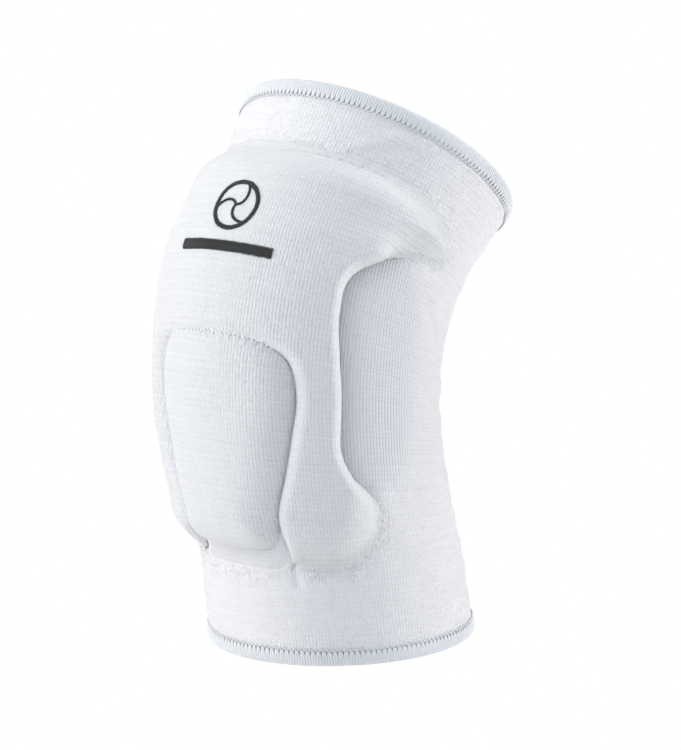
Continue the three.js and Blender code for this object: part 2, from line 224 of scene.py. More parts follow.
# The needle thread's arches from hole to hole. shift is a share of the pitch, sag is in
# millimetres, rise is a share of the lift, and the others are shares of the thread.
ARCHES = {"points": 6, "shift": 0.06, "sag": 0.35, "lift": 0.4, "rise": 0.5, "thickness": 0.8, "width": 1.1}
ASIDE = {"around": 0.5, "along": 0.002, "flat": 0.1}  # small steps to the side that give a direction

# The zigzag of the seam between the pads, in millimetres, from that row of the horseshoe's table.
ZIGZAG = {"pitch": 1.7, "sway": 0.8, "arch": 0.5, "sunk": 0.05, "thickness": 0.45, "width": 0.8}
ZIGZAG_FIRST_ROW = 11.4

# Small creases and ridges of the knit, each a straight line from one place to another. width and
# height are in millimetres, and a crease has a height below nothing. The sleeve has them on both
# sides.
SLEEVE_CREASES = table(
    "from_around from_along to_around to_along width height",
    (25, 0.884, 47, 0.945, 3.0, 0.5),
    (47, 0.945, 62, 0.958, 3.0, 0.4),
    (92, 0.700, 102, 0.655, 4.0, -0.5),
    (97, 0.520, 108, 0.498, 4.0, -0.5),
    (72, 0.318, 86, 0.308, 3.5, -0.5),
    (78, 0.330, 92, 0.334, 3.5, 0.3),
    (88, 0.777, 99, 0.770, 2.5, -0.4),
    (84, 0.620, 95, 0.700, 5.0, 0.3),
    (26, 0.195, 27, 0.155, 1.8, -0.9),
)
HORSESHOE_CREASES = table(
    "from_around from_along to_around to_along width height",
    (-5, 0.665, 0, 0.565, 2.5, -0.3),
    (-12, 0.640, -9, 0.570, 3.0, 0.2),
)

# The embroidered motif: a plain ball over a bar. Lengths are in millimetres.
MOTIF_ALONG = 0.752
BALL_RADIUS = 9.5
BALL_STROKE = 2.2
SEAM_STROKE = 1.3
BAR_LENGTH = 43
BAR_HEIGHT = 5.0
BAR_DROP = 16.5
SEAM_SWING = 75  # how far round a ball's seam swings on its way out, in degrees
SATIN = {"pitch": 0.42, "arch": 0.5, "sunk": 0.12, "thickness": 0.34, "width": 0.5}
THREAD_POINTS = 6

# The knit's pattern, where a material doesn't say otherwise.
KNIT = {
    "Wale Pitch": 1.36 * MM,
    "Course Pitch": 1.1 * MM,
    "Inlay Pitch": 2.4 * MM,
    "Course Depth": 0.25,
    "Inlay Depth": 0.2,
    "Wander": 0.3,
    "Wale Depth": 1.0,
    "Speckle": 0.3,
}
CHEVRON = 0.55  # how far a course bends down across a wale, as a share of its pitch
KNIT_NOISE = {"wander": 60.0, "floats": 620.0, "grain": 1400.0}
CLOUD = {"scale": 28.0, "share": 0.12, "dark": 0.8}
FUZZ = {"scale": 1500.0, "height": 0.18}
# CRUMPLE bumps the crinkles along the seams, and its shade paints them darker and lighter: painted shade and
# highlight.
CRUMPLE = {"scale": 520.0, "height": 6.5, "shade": 2.3}

# Where the camera looks and how far its aim is off to the right of that and above it, in metres.
LOOK_AT = (0, -0.012, -0.004)
AIM_RIGHT = 0.018
AIM_UP = 0.0099
SENSOR_WIDTH = 36
FLOOR_REACH = 6.0

# The studio's soft square lamps. right, back and up are shares of the way from the pad to the lamp,
# seen from the camera, and back is towards it. power is in watts. The world's light is the cool
# white too.
WARM = (1.0, 0.97, 0.92)
NEUTRAL = (1.0, 1.0, 1.0)
COOL = (0.86, 0.94, 1.0)
WORLD_STRENGTH = 0.25
LAMPS = {
    "left": {"right": -1.0, "back": 0.0, "up": 0.2, "power": 16, "colour": WARM},
    "front": {"right": -0.4, "back": 1.0, "up": 0.5, "power": 11, "colour": COOL},
    "right": {"right": 1.0, "back": 0.0, "up": 0.2, "power": 18, "colour": NEUTRAL},
    "top": {"right": 0.0, "back": 0.0, "up": 1.0, "power": 11, "colour": NEUTRAL},
}

# Fineness of the surfaces.
LINES_PER_ROW = 12
ARM_COLUMNS = 60
RIM_COLUMNS = 8
KNEE_PAD_RINGS = 52
SLEEVE_AROUND = 336
SLEEVE_UP = 180
SLEEVE_DOWN = 40
HEM_AROUND = 480
BATCH = 3000  # places whose distances are worked out at a time
GRID_WELD = 1e-7  # points of grids that are closer than this are one
TUBE_WELD = 1e-8


def between_rows(values, at, places=None):
    """A table's column at places between its rows: the cubic through the rows whose slope is that
    of the neighbours, and level where the values turn or rest."""
    values = np.asarray(values, float)
    places = np.arange(len(values), dtype=float) if places is None else places
    steps = np.diff(values)
    slopes = np.empty(len(values))
    slopes[0] = steps[0] / (places[1] - places[0])
    slopes[-1] = steps[-1] / (places[-1] - places[-2])
    central = (values[2:] - values[:-2]) / (places[2:] - places[:-2])
    slopes[1:-1] = np.where(steps[:-1] * steps[1:] > 0, central, 0)
    i = np.clip(np.searchsorted(places, at, side="right") - 1, 0, len(places) - 2)
    width = places[i + 1] - places[i]
    s = (at - places[i]) / width
    return (
        values[i] * (2 * s**3 - 3 * s**2 + 1)
        + values[i + 1] * (3 * s**2 - 2 * s**3)
        + width * slopes[i] * (s**3 - 2 * s**2 + s)
        + width * slopes[i + 1] * (s**3 - s**2)
    )


def smooth_step(low, high, value):
    """0 below low, 1 above high, and between them 3 t^2 - 2 t^3 of the share t of the way."""
    t = np.clip((value - low) / (high - low), 0, 1)
    return t * t * (3 - 2 * t)


def centred(around):
    """An angle round the leg in degrees, from -180 up to 180."""
    return np.mod(around + 180, 360) - 180


def bell(value, middle, width):
    """A Gaussian bell: e to the minus square of the distance from the middle over the width."""
    return np.exp(-(((value - middle) / width) ** 2))


def soft_bumps(points, size, seed):
    """Soft unevenness of about unit height: a sum of sine waves through space in seeded directions,
    with wavelengths near that size."""
    rng = np.random.default_rng(seed)
    total = np.zeros(points.shape[:-1])
    waves = 11
    for _ in range(waves):
        direction = rng.normal(size=3)
        direction /= np.linalg.norm(direction)
        wavelength = size * rng.uniform(0.7, 1.5)
        total += np.sin(points @ direction * (2 * math.pi / wavelength) + rng.uniform(0, 2 * math.pi))
    return total / math.sqrt(waves)


class Shape:
    """The knee pad's sizes in metres, and the surfaces that follow from them."""

    def __init__(self, sizes):
        self.length = sizes.sleeve_length
        self.radius = sizes.knee_radius
        self.wall = sizes.wall
        self.pad = sizes.pad_thickness
        self.cover = sizes.cover_thickness
        self.seat = sizes.seat_gap
        self.crease = sizes.crease_gap
        # The pads are laid out flat on a cylinder of this radius, to measure from their edges.
        self.wrap = self.radius + self.pad / 2

    def on_leg(self, around, along, out):
        """Points on the leg: the section at that share of the way up is half an ellipse in front
        and half of another behind, leaned back, and out is added to its half widths. The folds are
        Gaussian grooves in it."""
        around, along, out = np.broadcast_arrays(around, along, out)
        row = {name: between_rows(SLEEVE[name], along, SLEEVE["along"]) for name in SLEEVE}
        lift = np.array(out, float)
        for fold in range(len(FOLDS["around"])):
            groove = bell(centred(around - FOLDS["around"][fold]), 0, FOLDS["reach"][fold])
            groove = groove * bell(along, FOLDS["along"][fold], FOLDS["width"][fold])
            lift -= FOLDS["depth"][fold] * MM * groove
        turn = around * DEGREE
        reach = np.where(np.cos(turn) > 0, row["front"], row["rear"])
        forward = (reach * self.radius + lift) * np.cos(turn)
        lean = row["lean"] * DEGREE
        return np.stack(
            [
                (row["side"] * self.radius + lift) * np.sin(turn),
                row["back"] * self.length - forward * np.cos(lean),
                row["rise"] * self.length + forward * np.sin(lean),
            ],
            axis=-1,
        )

    def laid_out(self, around, along):
        """Flat places: across from the front's middle line, and up."""
        return np.stack([np.asarray(around) * DEGREE * self.wrap, np.asarray(along) * self.length], -1)

    def placed(self, flat, out):
        """Flat places carried back to the leg."""
        return self.on_leg(flat[..., 0] / DEGREE / self.wrap, flat[..., 1] / self.length, out)


def outward_directions(line):
    """Unit directions out of a line of flat points, to the right of the way along it, and straight
    up or down on the front's middle line."""
    way = np.empty_like(line)
    way[1:-1] = line[2:] - line[:-2]
    way[0] = line[1] - line[0]
    way[-1] = line[-1] - line[-2]
    out = np.stack([np.where(np.abs(line[:, 0]) < 1e-9, 0, way[:, 1]), -way[:, 0]], -1)
    return out / np.linalg.norm(out, axis=1, keepdims=True)


def rounding(share):
    """A rounded edge's height at a share of its width: a quarter of an ellipse."""
    return np.sqrt(1 - (1 - np.clip(share, 0, 1)) ** 2)


def from_segments(places, line):
    """The distance of each flat place from each segment of a line, and how far along the segment
    its nearest point is, as a share."""
    a, side = line[:-1], np.diff(line, axis=0)
    square = np.maximum((side**2).sum(1), 1e-18)
    share = np.clip(((places[:, None] - a) * side).sum(-1) / square, 0, 1)
    distance = np.linalg.norm(places[:, None] - a - share[..., None] * side, axis=-1)
    return distance, share


class Edge:
    """A line of flat points that limits a pad's height near it."""

    def __init__(self, flat, keep, roll, slope):
        self.flat = flat
        self.keep = np.broadcast_to(keep, len(flat))
        self.roll = np.broadcast_to(roll, len(flat))
        self.slope = np.broadcast_to(slope, len(flat))

    def mirrored(self):
        """The same edge on the other side of the front's middle line."""
        return Edge(self.flat * (-1, 1), self.keep, self.roll, self.slope)

    def height(self, flat):
        """The share of full height that the edge allows: keep + (1 - keep) times the rounding of
        distance over roll to the power slope, at the nearest point of each of its segments, and
        then the least of them."""
        places = flat.reshape(-1, 2)
        heights = np.empty(len(places))
        for start in range(0, len(places), BATCH):
            part = slice(start, start + BATCH)
            distance, share = from_segments(places[part], self.flat)
            keep, roll, slope = (
                ends[:-1] + np.diff(ends) * share for ends in (self.keep, self.roll, self.slope)
            )
            heights[part] = (keep + (1 - keep) * rounding(distance / roll) ** slope).min(1)
        return heights.reshape(flat.shape[:-1])


def foam_height(flat, edges):
    """The share of full height that all the edges allow together: what each takes away is added as
    a sixth-power mean, so that two roundings run into each other softly."""
    taken = sum((1 - edge.height(flat)) ** 6 for edge in edges)
    return 1 - np.minimum(taken, 1) ** (1 / 6)


def creases(shape, flat, lines, sides):
    """How far small creases and ridges move the knit: each is a Gaussian of the distance from its
    line, drawn on each of the sides."""
    places = flat.reshape(-1, 2)
    moved = np.zeros(len(places))
    for crease in range(len(lines["width"])):
        start, end = (
            shape.laid_out(lines[end + "_around"][crease], lines[end + "_along"][crease])
            for end in ("from", "to")
        )
        for side in sides:
            distance, _ = from_segments(places, np.stack([start, end]) * (side, 1))
            moved += lines["height"][crease] * MM * bell(distance[:, 0], 0, lines["width"][crease] * MM)
    return moved.reshape(flat.shape[:-1])


def crinkled(shape, flat):
    """How strongly the knit is crinkled at flat places, from 0 to 1: the greatest of the Gaussians of
    the distance from the horseshoe's sewn rim and from the edge of the knee pad's cover."""
    lines = [
        (rim_line(shape, rim["first"], rim["last"])[::RIM_STRIDE], rim["reach"], rim["strength"])
        for rim in CRINKLED_RIMS
    ]
    rows = CRINKLED_FOOT["rows"]
    foot = shape.laid_out(FOOT["cover_around"][:rows], FOOT["cover_along"][:rows])
    lines.append((foot, CRINKLED_FOOT["reach"], CRINKLED_FOOT["strength"]))
    near = np.zeros(flat.shape[:-1])
    for line, reach, strength in lines:
        near = np.maximum(near, strength * near_line(flat, line, reach * MM))
    return near


def near_line(flat, line, reach):
    """A Gaussian of the distance of flat places, on either side of the front, from a line."""
    places = np.abs(flat.reshape(-1, 2))
    near = np.empty(len(places))
    for start in range(0, len(places), BATCH):
        part = slice(start, start + BATCH)
        distance, _ = from_segments(places[part], line)
        near[part] = bell(distance.min(1), 0, reach)
    return near.reshape(flat.shape[:-1])


def arm_groove(shape, flat):
    """How far the sleeve is pressed in beside the arms: a Gaussian of the distance from their outer
    edge."""
    line = rim_line(shape, ARM_GROOVE["first"], ARM_GROOVE["last"])[::RIM_STRIDE]
    return -ARM_GROOVE["depth"] * MM * near_line(flat, line, ARM_GROOVE["width"] * MM)


def uneven(points, waves):
    """How far the surface rises at points: soft bumps of each of the waves' sizes, added up."""
    return sum(height * MM * soft_bumps(points, size * MM, seed) for size, height, seed in waves)


def crinkles(shape, flat, points):
    """The crinkles' height: fine waves where the knit is crinkled."""
    return crinkled(shape, flat) * uneven(points, CRINKLE_WAVES)


def row_places(first, last):
    """Row numbers from one row of a table to another, with the lines between them."""
    return np.linspace(first, last, (last - first) * LINES_PER_ROW + 1)


def eased(count):
    """Shares from 0 to 1 that lie closer together near both ends: half even and half a cosine."""
    t = np.linspace(0, 1, count)
    return 0.5 * t + 0.25 * (1 - np.cos(math.pi * t))


def along_line(flat):
    """The distance along a line of flat points to each of them."""
    return np.concatenate([[0], np.cumsum(np.linalg.norm(np.diff(flat, axis=0), axis=1))])


def mesh_of_quads(name, points, faces, uvs, weld, mend):
    """A smooth mesh of four-cornered faces, from lists of arrays of points, faces and their corners'
    UV. Points closer than weld are joined, and mend then sees to the faces."""
    points, faces, uvs = np.concatenate(points), np.concatenate(faces), np.concatenate(uvs)
    mesh = bpy.data.meshes.new(name)
    mesh.vertices.add(len(points))
    mesh.vertices.foreach_set("co", points.ravel())
    mesh.loops.add(faces.size)
    mesh.loops.foreach_set("vertex_index", faces.ravel())
    mesh.polygons.add(len(faces))
    mesh.polygons.foreach_set("loop_start", np.arange(len(faces)) * 4)
    mesh.update(calc_edges=True)
    mesh.uv_layers.new(name=PATTERN_UV).data.foreach_set("uv", uvs.ravel())
    shell = bmesh.new()
    shell.from_mesh(mesh)
    bmesh.ops.remove_doubles(shell, verts=shell.verts, dist=weld)
    mend(shell)
    shell.to_mesh(mesh)
    shell.free()
    mesh.polygons.foreach_set("use_smooth", np.ones(len(mesh.polygons), bool))
    return mesh


def drop_slivers(shell):
    """Takes out the edges without length that are left at a pole."""
    bmesh.ops.dissolve_degenerate(shell, edges=shell.edges, dist=GRID_WELD)


def face_outwards(shell):
    """Turns every closed tube's faces outwards."""
    bmesh.ops.recalc_face_normals(shell, faces=shell.faces)


def mesh_from_grids(name, grids):
    """One mesh of several grids. Each grid is (points, uv), and its faces look to the side from
    which going down the rows and along the columns is anticlockwise. Coinciding points are welded,
    which closes seams and poles."""
    points, faces, uvs = [], [], []
    first = 0
    for grid, uv in grids:
        rows, columns = grid.shape[:2]
        index = first + np.arange(rows * columns).reshape(rows, columns)
        corners = [index[:-1, :-1], index[:-1, 1:], index[1:, 1:], index[1:, :-1]]
        face = np.stack(corners, -1).reshape(-1, 4)
        points.append(grid.reshape(-1, 3))
        faces.append(face)
        uvs.append(uv.reshape(-1, 2)[face - first].reshape(-1, 2))
        first += rows * columns
    mesh = mesh_of_quads(name, points, faces, uvs, GRID_WELD, drop_slivers)
    mesh.validate()
    return mesh


def strip(line, beside):
    """The grid of one strip of faces between two lines. Each is (points, uv)."""
    return np.stack([line[0], beside[0]]), np.stack([line[1], beside[1]])


def corner_lay(mesh):
    """The lay of the cloth at the mesh's corners, across and up, in metres."""
    uvs = np.empty(len(mesh.loops) * 2, np.float32)
    mesh.uv_layers[PATTERN_UV].data.foreach_get("uv", uvs)
    return uvs[0::2], uvs[1::2]


def add_mask(mesh, name, values):
    """A mask of that name on the mesh's corners."""
    mask = mesh.attributes.new(name, "FLOAT", "CORNER")
    mask.data.foreach_set("value", values.astype(np.float32))


def add_panel_mask(mesh, shape, panel):
    """A mask that is 1 in the ribbed panel of each side and 0 away from it: a soft step across a
    superellipse of the third power, worked out from the lay of the cloth."""
    across, up = corner_lay(mesh)
    around = np.abs(centred(across / shape.radius / DEGREE))
    across = np.abs(around - panel["around"]) / panel["half_around"]
    up = np.abs(up / shape.length - panel["along"]) / panel["half_along"]
    far = (across**3 + up**3) ** (1 / 3)
    add_mask(mesh, PANEL_MASK, 1 - smooth_step(*PANEL_FADE, far))


def add_seam_mask(mesh, shape, radius):
    """A mask of how strongly the knit is crinkled, which bumps the crinkles and paints their shade and
    highlight. radius is the one the cloth's lay was unrolled from."""
    across, up = corner_lay(mesh)
    flat = shape.laid_out(centred(across / radius / DEGREE), up / shape.length)
    add_mask(mesh, SEAM_MASK, crinkled(shape, flat))


def piece_from_mesh(mesh, material):
    """A new object of the mesh in the scene, of that material, riding on the part's one body."""
    mesh.materials.append(material)
    piece = bpy.data.objects.new(mesh.name, mesh)
    bpy.context.scene.collection.objects.link(piece)
    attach(piece, BODY)
    return piece


def turned(grid):
    """A grid and its UV with the columns in the opposite order, which turns its faces round."""
    points, uv = grid
    return points[:, ::-1], uv[:, ::-1]


def tubes(paths, across, thickness, width, sides=5):
    """Closed tubes along paths of points, all of one length: an ellipse of that width across each
    path and that thickness off the surface, carried along it and drawn in to a point at the ends.
    paths and across are (tube, point, 3), and across points sideways along the surface. Gives one
    grid a tube."""
    way = np.gradient(paths, axis=1)
    way /= np.linalg.norm(way, axis=-1, keepdims=True)
    across = across - (across * way).sum(-1, keepdims=True) * way
    across /= np.linalg.norm(across, axis=-1, keepdims=True)
    off = np.cross(way, across)
    turn = np.linspace(0, 2 * math.pi, sides + 1)
    size = np.ones(paths.shape[1])
    size[[0, -1]] = 0
    ring = (
        across[:, :, None] * (np.cos(turn) * width / 2)[:, None]
        + off[:, :, None] * (np.sin(turn) * thickness / 2)[:, None]
    )
    return paths[:, :, None] + ring * size[None, :, None, None]


def mesh_from_tubes(name, groups):
    """One mesh of many tubes. Each group is an array (tube, point, side, 3) from tubes(), whose
    last side repeats the first."""
    points, faces, uvs = [], [], []
    first = 0
    for group in groups:
        count, length, sides = group.shape[:3]
        sides -= 1
        points.append(group[:, :, :sides].reshape(-1, 3))
        index = first + np.arange(count * length * sides).reshape(count, length, sides)
        beside = np.roll(index, -1, axis=2)
        face = np.stack([index[:, :-1], beside[:, :-1], beside[:, 1:], index[:, 1:]], -1)
        faces.append(face[..., ::-1].reshape(-1, 4))
        stretches = np.linalg.norm(np.diff(group[:, :, 0], axis=1), axis=-1)
        far = np.concatenate([np.zeros((count, 1)), np.cumsum(stretches, 1)], 1)
        u = np.arange(sides + 1) / sides
        uv = np.stack(np.broadcast_arrays(u[None, None, :], far[:, :, None] / MM), -1)
        corner = np.stack([uv[:, :-1, :-1], uv[:, :-1, 1:], uv[:, 1:, 1:], uv[:, 1:, :-1]], -2)
        uvs.append(corner[..., ::-1, :].reshape(-1, 2))
        first += count * length * sides
    return mesh_of_quads(name, points, faces, uvs, TUBE_WELD, face_outwards)


# The surfaces of the pieces.


def sleeve_grids(shape, stretch):
    """The elastic tube: up its outer face, over the upper end, down the inner face and back. The
    outer face is softly uneven, more so where it is slack behind the knee, and has creases,
    crinkles and the arms' groove."""
    end = stretch / shape.length
    around = np.linspace(0, 360, SLEEVE_AROUND + 1)
    up = np.linspace(end, 1 - end, SLEEVE_UP + 1)
    down = np.linspace(1 - end, end, SLEEVE_DOWN + 1)
    plain = shape.on_leg(around, up[:, None], 0)
    flat = shape.laid_out(*np.broadcast_arrays(centred(around), up[:, None]))
    behind = smooth_step(SLACK["from"], SLACK["to"], np.abs(centred(around)))
    lift = uneven(plain, SLEEVE_WAVES) - SLACK["depth"] * MM * behind
    lift += behind * uneven(plain * (1, 1, SLACK["fineness"]), SLACK_WAVES)
    lift += creases(shape, flat, SLEEVE_CREASES, (1, -1))
    lift += arm_groove(shape, flat)
    lift += crinkles(shape, flat, plain)
    outer = shape.on_leg(around, up[:, None], lift)
    inner = shape.on_leg(around, down[:, None], -shape.wall)
    across = around * DEGREE * shape.radius
    outer_lay, inner_lay = (
        np.stack(np.broadcast_arrays(across, along[:, None] * shape.length), -1) for along in (up, down)
    )
    return [
        (outer, outer_lay),
        strip((outer[-1], outer_lay[-1]), (inner[0], inner_lay[0])),
        (inner, inner_lay),
        strip((inner[-1], inner_lay[-1]), (outer[0], outer_lay[0])),
    ]


def arm_edges(shape):
    """The horseshoe's inner and outer edge on one side, at every line across it."""
    at = row_places(0, len(ARM["thick"]) - 1)
    inner = shape.laid_out(between_rows(ARM["in_around"], at), between_rows(ARM["in_along"], at))
    outer = shape.laid_out(between_rows(ARM["out_around"], at), between_rows(ARM["out_along"], at))
    inner[MEETING_ROW * LINES_PER_ROW :, 0] = 0
    outer[-1, 0] = 0
    return at, inner, outer


def seam_puckers(distance, far, puckers, phase=0.0):
    """The gathers of a sewn seam: a sine along it, which dies away as a Gaussian of the distance
    from it."""
    wave = np.sin(2 * math.pi * far / (puckers["period"] * MM) + phase)
    return puckers["depth"] * MM * wave * bell(distance, 0, puckers["reach"] * MM)


def underside(shape, top):
    """The height of a cushion's flat underside, which stays a little below its top."""
    return np.minimum(shape.seat, top - THINNEST * MM)


def horseshoe_heights(shape, arm_roll):
    """The flat places and heights of the horseshoe's top on one side. Lines run across it from the
    mouth or the front's middle line to the outer edge, with the foam's height on them, and then
    down to a rim that is sewn into the sleeve."""
    at, inner, outer = arm_edges(shape)
    meeting = MEETING_ROW * LINES_PER_ROW
    column = {name: between_rows(ARM[name], at) for name in ("keep", "roll", "slope", "thick", "flange")}
    mouth = Edge(inner[: meeting + 1], column["keep"][: meeting + 1], arm_roll, 1)
    border = Edge(outer, 0, column["roll"] * MM, column["slope"])
    share = eased(ARM_COLUMNS)[None, :, None]
    foam = inner[:, None] * (1 - share) + outer[:, None] * share
    height = foam_height(foam, [mouth, mouth.mirrored(), border])
    foam_top = shape.seat + shape.cover + (shape.pad - shape.cover) * column["thick"][:, None] * height

    from_mouth = np.linalg.norm(foam - inner[:, None], axis=-1)
    gathered = smooth_step(*MOUTH_PUCKER_ROWS, at) * (at <= MEETING_ROW)
    foam_top += gathered[:, None] * seam_puckers(from_mouth, along_line(inner)[:, None], MOUTH_PUCKERS)
    from_border = np.linalg.norm(foam - outer[:, None], axis=-1)
    grows, ends = FOOT_PUCKER_ROWS
    sewn = smooth_step(*grows, at) * (1 - smooth_step(*ends, at)) + smooth_step(*TOP_PUCKER_ROWS, at)
    foam_top += sewn[:, None] * seam_puckers(from_border, along_line(outer)[:, None], BORDER_PUCKERS)

    step = np.linspace(0, 1, RIM_COLUMNS + 1)[1:]
    flange = (column["flange"] * MM)[:, None, None]
    rim = outer[:, None] + outward_directions(outer)[:, None] * flange * step[None, :, None]
    seated = shape.seat + shape.cover
    rim_top = seated * (1 - step) ** RIM_POWER - RIM_SINK * MM * smooth_step(0, 1, step)
    flat = np.concatenate([foam, rim], 1)
    top = np.concatenate([foam_top, np.broadcast_to(rim_top, rim.shape[:2])], 1)
    points = shape.placed(flat, top)

    from_inner = np.linalg.norm(flat - inner[:, None], axis=-1)
    flat_rows = 1 - smooth_step(*FLAT_FOOT["rows"], at)[:, None]
    flattened = flat_rows * bell(from_inner, 0, FLAT_FOOT["reach"] * MM)
    top = top - (seated + FLAT_FOOT["sink"] * MM) * flattened
    top = top + smooth_step(*FOAM_HEIGHTS, top) * uneven(points, HORSESHOE_WAVES)
    top = top + crinkles(shape, flat, points)
    return flat, top + creases(shape, flat, HORSESHOE_CREASES, (1,))


def horseshoe_grids(shape, flat, top):
    """The horseshoe pad under its cover: its top, its flat underside and the walls between them.
    The other side is its mirror image."""
    meeting = MEETING_ROW * LINES_PER_ROW
    under = underside(shape, top)
    foot, border, mouth = np.s_[0], np.s_[:, -1], np.s_[: meeting + 1, 0]
    grids = []
    for side in (1, -1):
        mirrored = flat * (side, 1)
        above, below = shape.placed(mirrored, top), shape.placed(mirrored, under)
        half = [
            (above, mirrored),
            turned((below, mirrored)),
            strip((below[foot], mirrored[foot]), (above[foot], mirrored[foot])),
            strip((above[border], mirrored[border]), (below[border], mirrored[border])),
            strip((below[mouth], mirrored[mouth]), (above[mouth], mirrored[mouth])),
        ]
        grids += half if side > 0 else [turned(grid) for grid in half]
    return grids


def knee_pad_edges(shape):
    """The foam's and the cover's edge all the way round, from the middle of the foot up one side
    and down the other, and the share kept at each point."""
    at = row_places(0, len(FOOT["foam_around"]) - 1)[:-1]
    arm_at, inner, _ = arm_edges(shape)
    shared = slice(FIRST_SHARED_ROW * LINES_PER_ROW, MEETING_ROW * LINES_PER_ROW + 1)
    keep = np.concatenate([np.zeros(len(at)), between_rows(ARM["keep"], arm_at)[shared]])
    whole = []
    for layer in ("foam", "cover"):
        foot = shape.laid_out(*(between_rows(FOOT[layer + way], at) for way in ("_around", "_along")))
        half = np.concatenate([foot, inner[shared]])
        half = half - outward_directions(half) * shape.crease
        half[[0, -1], 0] = 0
        whole.append(np.concatenate([half, half[-2::-1] * (-1, 1)]))
    return whole[0], whole[1], np.concatenate([keep, keep[-2::-1]])


def knee_pad_grids(shape, roll, crown):
    """The pad in the horseshoe's mouth: rings from its middle to the foam's edge, and at the foot
    on to the cover's edge, which is sewn into the sleeve."""
    foam_edge, cover_edge, keep = knee_pad_edges(shape)
    middle = shape.laid_out(0, KNEE_PAD_MIDDLE_ALONG)
    share = (1 - (1 - np.linspace(0, 1, KNEE_PAD_RINGS)) ** RING_POWER)[:, None, None]
    foam = middle * (1 - share) + foam_edge[None] * share
    height = foam_height(foam, [Edge(foam_edge, keep, roll, 1)])
    foam_top = shape.seat + shape.cover + (shape.pad + crown - shape.cover) * height
    from_edge = np.linalg.norm(foam - foam_edge[None], axis=-1)
    upper = smooth_step(*MOUTH_PUCKER_SHARES, foam_edge[None, :, 1] / shape.length)
    foam_top += upper * seam_puckers(from_edge, along_line(foam_edge)[None], MOUTH_PUCKERS, KNEE_PAD_PHASE)

    step = np.linspace(0, 1, RIM_COLUMNS + 1)[1:][:, None, None]
    rim = foam_edge[None] * (1 - step) + cover_edge[None] * step
    flange = np.linalg.norm(cover_edge - foam_edge, axis=1)
    sink = smooth_step(0, 1, step[..., 0]) * smooth_step(0, KNEE_PAD_FLANGE * MM, flange)[None]
    rim_top = foam_top[-1:] * (1 - sink) - KNEE_PAD_SINK * MM * sink
    flat = np.concatenate([foam, rim])
    top = np.concatenate([foam_top, rim_top])
    points = shape.placed(flat, top)
    top = top + smooth_step(*FOAM_HEIGHTS, top) * uneven(points, KNEE_PAD_WAVES)
    top = top + crinkles(shape, flat, points)
    above, below = shape.placed(flat, top), shape.placed(flat, underside(shape, top))
    return [
        turned((above, flat)),
        (below, flat),
        strip((below[-1], flat[-1]), (above[-1], flat[-1])),
    ]


def oblong(turn):
    """Places round a rounded oblong that reaches from -1 to 1 both ways: a superellipse of the
    fourth power."""
    cosine, sine = np.cos(turn), np.sin(turn)
    size = (cosine**4 + sine**4) ** -0.25
    return size * cosine, size * sine


def hem_ring(shape, middle, height, thickness, around):
    """A hem's band: a rounded oblong section carried round the leg."""
    turn = np.linspace(0, 2 * math.pi, BAND_SIDES + 1)
    out, up = oblong(turn)
    out = out * thickness / 2 - shape.wall / 2
    along = middle + up * height / 2 / shape.length
    lay = np.broadcast_arrays(around[None, :] * DEGREE * shape.radius, (turn * thickness)[:, None])
    return shape.on_leg(around, along[:, None], out[:, None]), np.stack(lay, -1)


def hem_strands(shape, middle, inward, height, thickness, stitches, strand):
    """The overlocking over a hem's edge. Each stitch has two strands that leave one needle hole at
    the hem's inner side, lie beside each other over the edge, a little closer on it, and come
    together again on the inner face."""
    share = 0.5 - 0.5 * np.cos(math.pi * np.linspace(0, 1, OVERLOCK["points"]))
    # Up the outer face, over the edge and down the inner one, as shares of the half height and
    # half thickness.
    reach, inwards = oblong((share - 0.5) * math.pi)
    along = middle - inward * (reach * (1 + HOLE_REACH) - HOLE_REACH)[None] * (height / 2) / shape.length
    near_hole = bell(share, 0, OVERLOCK["hole"]) + bell(share, 1, OVERLOCK["hole"])
    spread = smooth_step(0, OVERLOCK["fan"], np.minimum(share, 1 - share))
    spread = spread - OVERLOCK["pinch"] * bell(share, OVERLOCK["pinch_at"], OVERLOCK["pinch_width"])
    proud = thickness / 2 - shape.wall / 2 - OVERLOCK["sunk"] * strand
    lift = -inwards * (thickness / 2) - shape.wall / 2 + np.sign(inwards) * near_hole * proud
    pitch = 360 / stitches
    hole = np.arange(stitches)[:, None] * pitch
    groups = []
    for side in (-1, 1):
        around = hole + (side * OVERLOCK["apart"] * spread + OVERLOCK["slant"] * (share - 0.5)) * pitch
        path = shape.on_leg(around, along, lift[None])
        beside = shape.on_leg(around + ASIDE["around"], along, lift[None]) - path
        sizes = strand * OVERLOCK["thickness"], strand * OVERLOCK["width"]
        groups.append(tubes(path, beside, *sizes, OVERLOCK["sides"]))
    return groups


def hem_arches(shape, middle, inward, height, stitches, strand):
    """The needle thread along a hem's holes: small arches from hole to hole, on both faces."""
    pitch = 360 / stitches
    step = np.linspace(0, 1, ARCHES["points"])[None]
    arch = np.sin(math.pi * step)
    along = middle + inward * (HOLE_REACH * height / 2 + ARCHES["sag"] * MM * arch) / shape.length
    groups = []
    for face in (1, -1):
        around = (np.arange(stitches)[:, None] + step + ARCHES["shift"] * face) * pitch
        lift = ARCHES["lift"] * strand * face * (1 + ARCHES["rise"] * arch) - shape.wall * (face < 0)
        path = shape.on_leg(around, along, lift)
        beside = shape.on_leg(around, along + ASIDE["along"], lift) - path
        groups.append(tubes(path, beside, strand * ARCHES["thickness"], strand * ARCHES["width"]))
    return groups


def heights_at(places, flat, top):
    """A grid's height at other flat places: the mean of its points, weighted by a Gaussian of the
    distance from them."""
    flat, top = flat.reshape(-1, 2), top.ravel()
    heights = np.empty(len(places))
    for start in range(0, len(places), BATCH // 10):
        part = slice(start, start + BATCH // 10)
        square = ((places[part, None] - flat) ** 2).sum(-1)
        square -= square.min(1, keepdims=True)
        weight = np.exp(-square / (0.7 * MM) ** 2)
        heights[part] = weight @ top / weight.sum(1)
    return heights


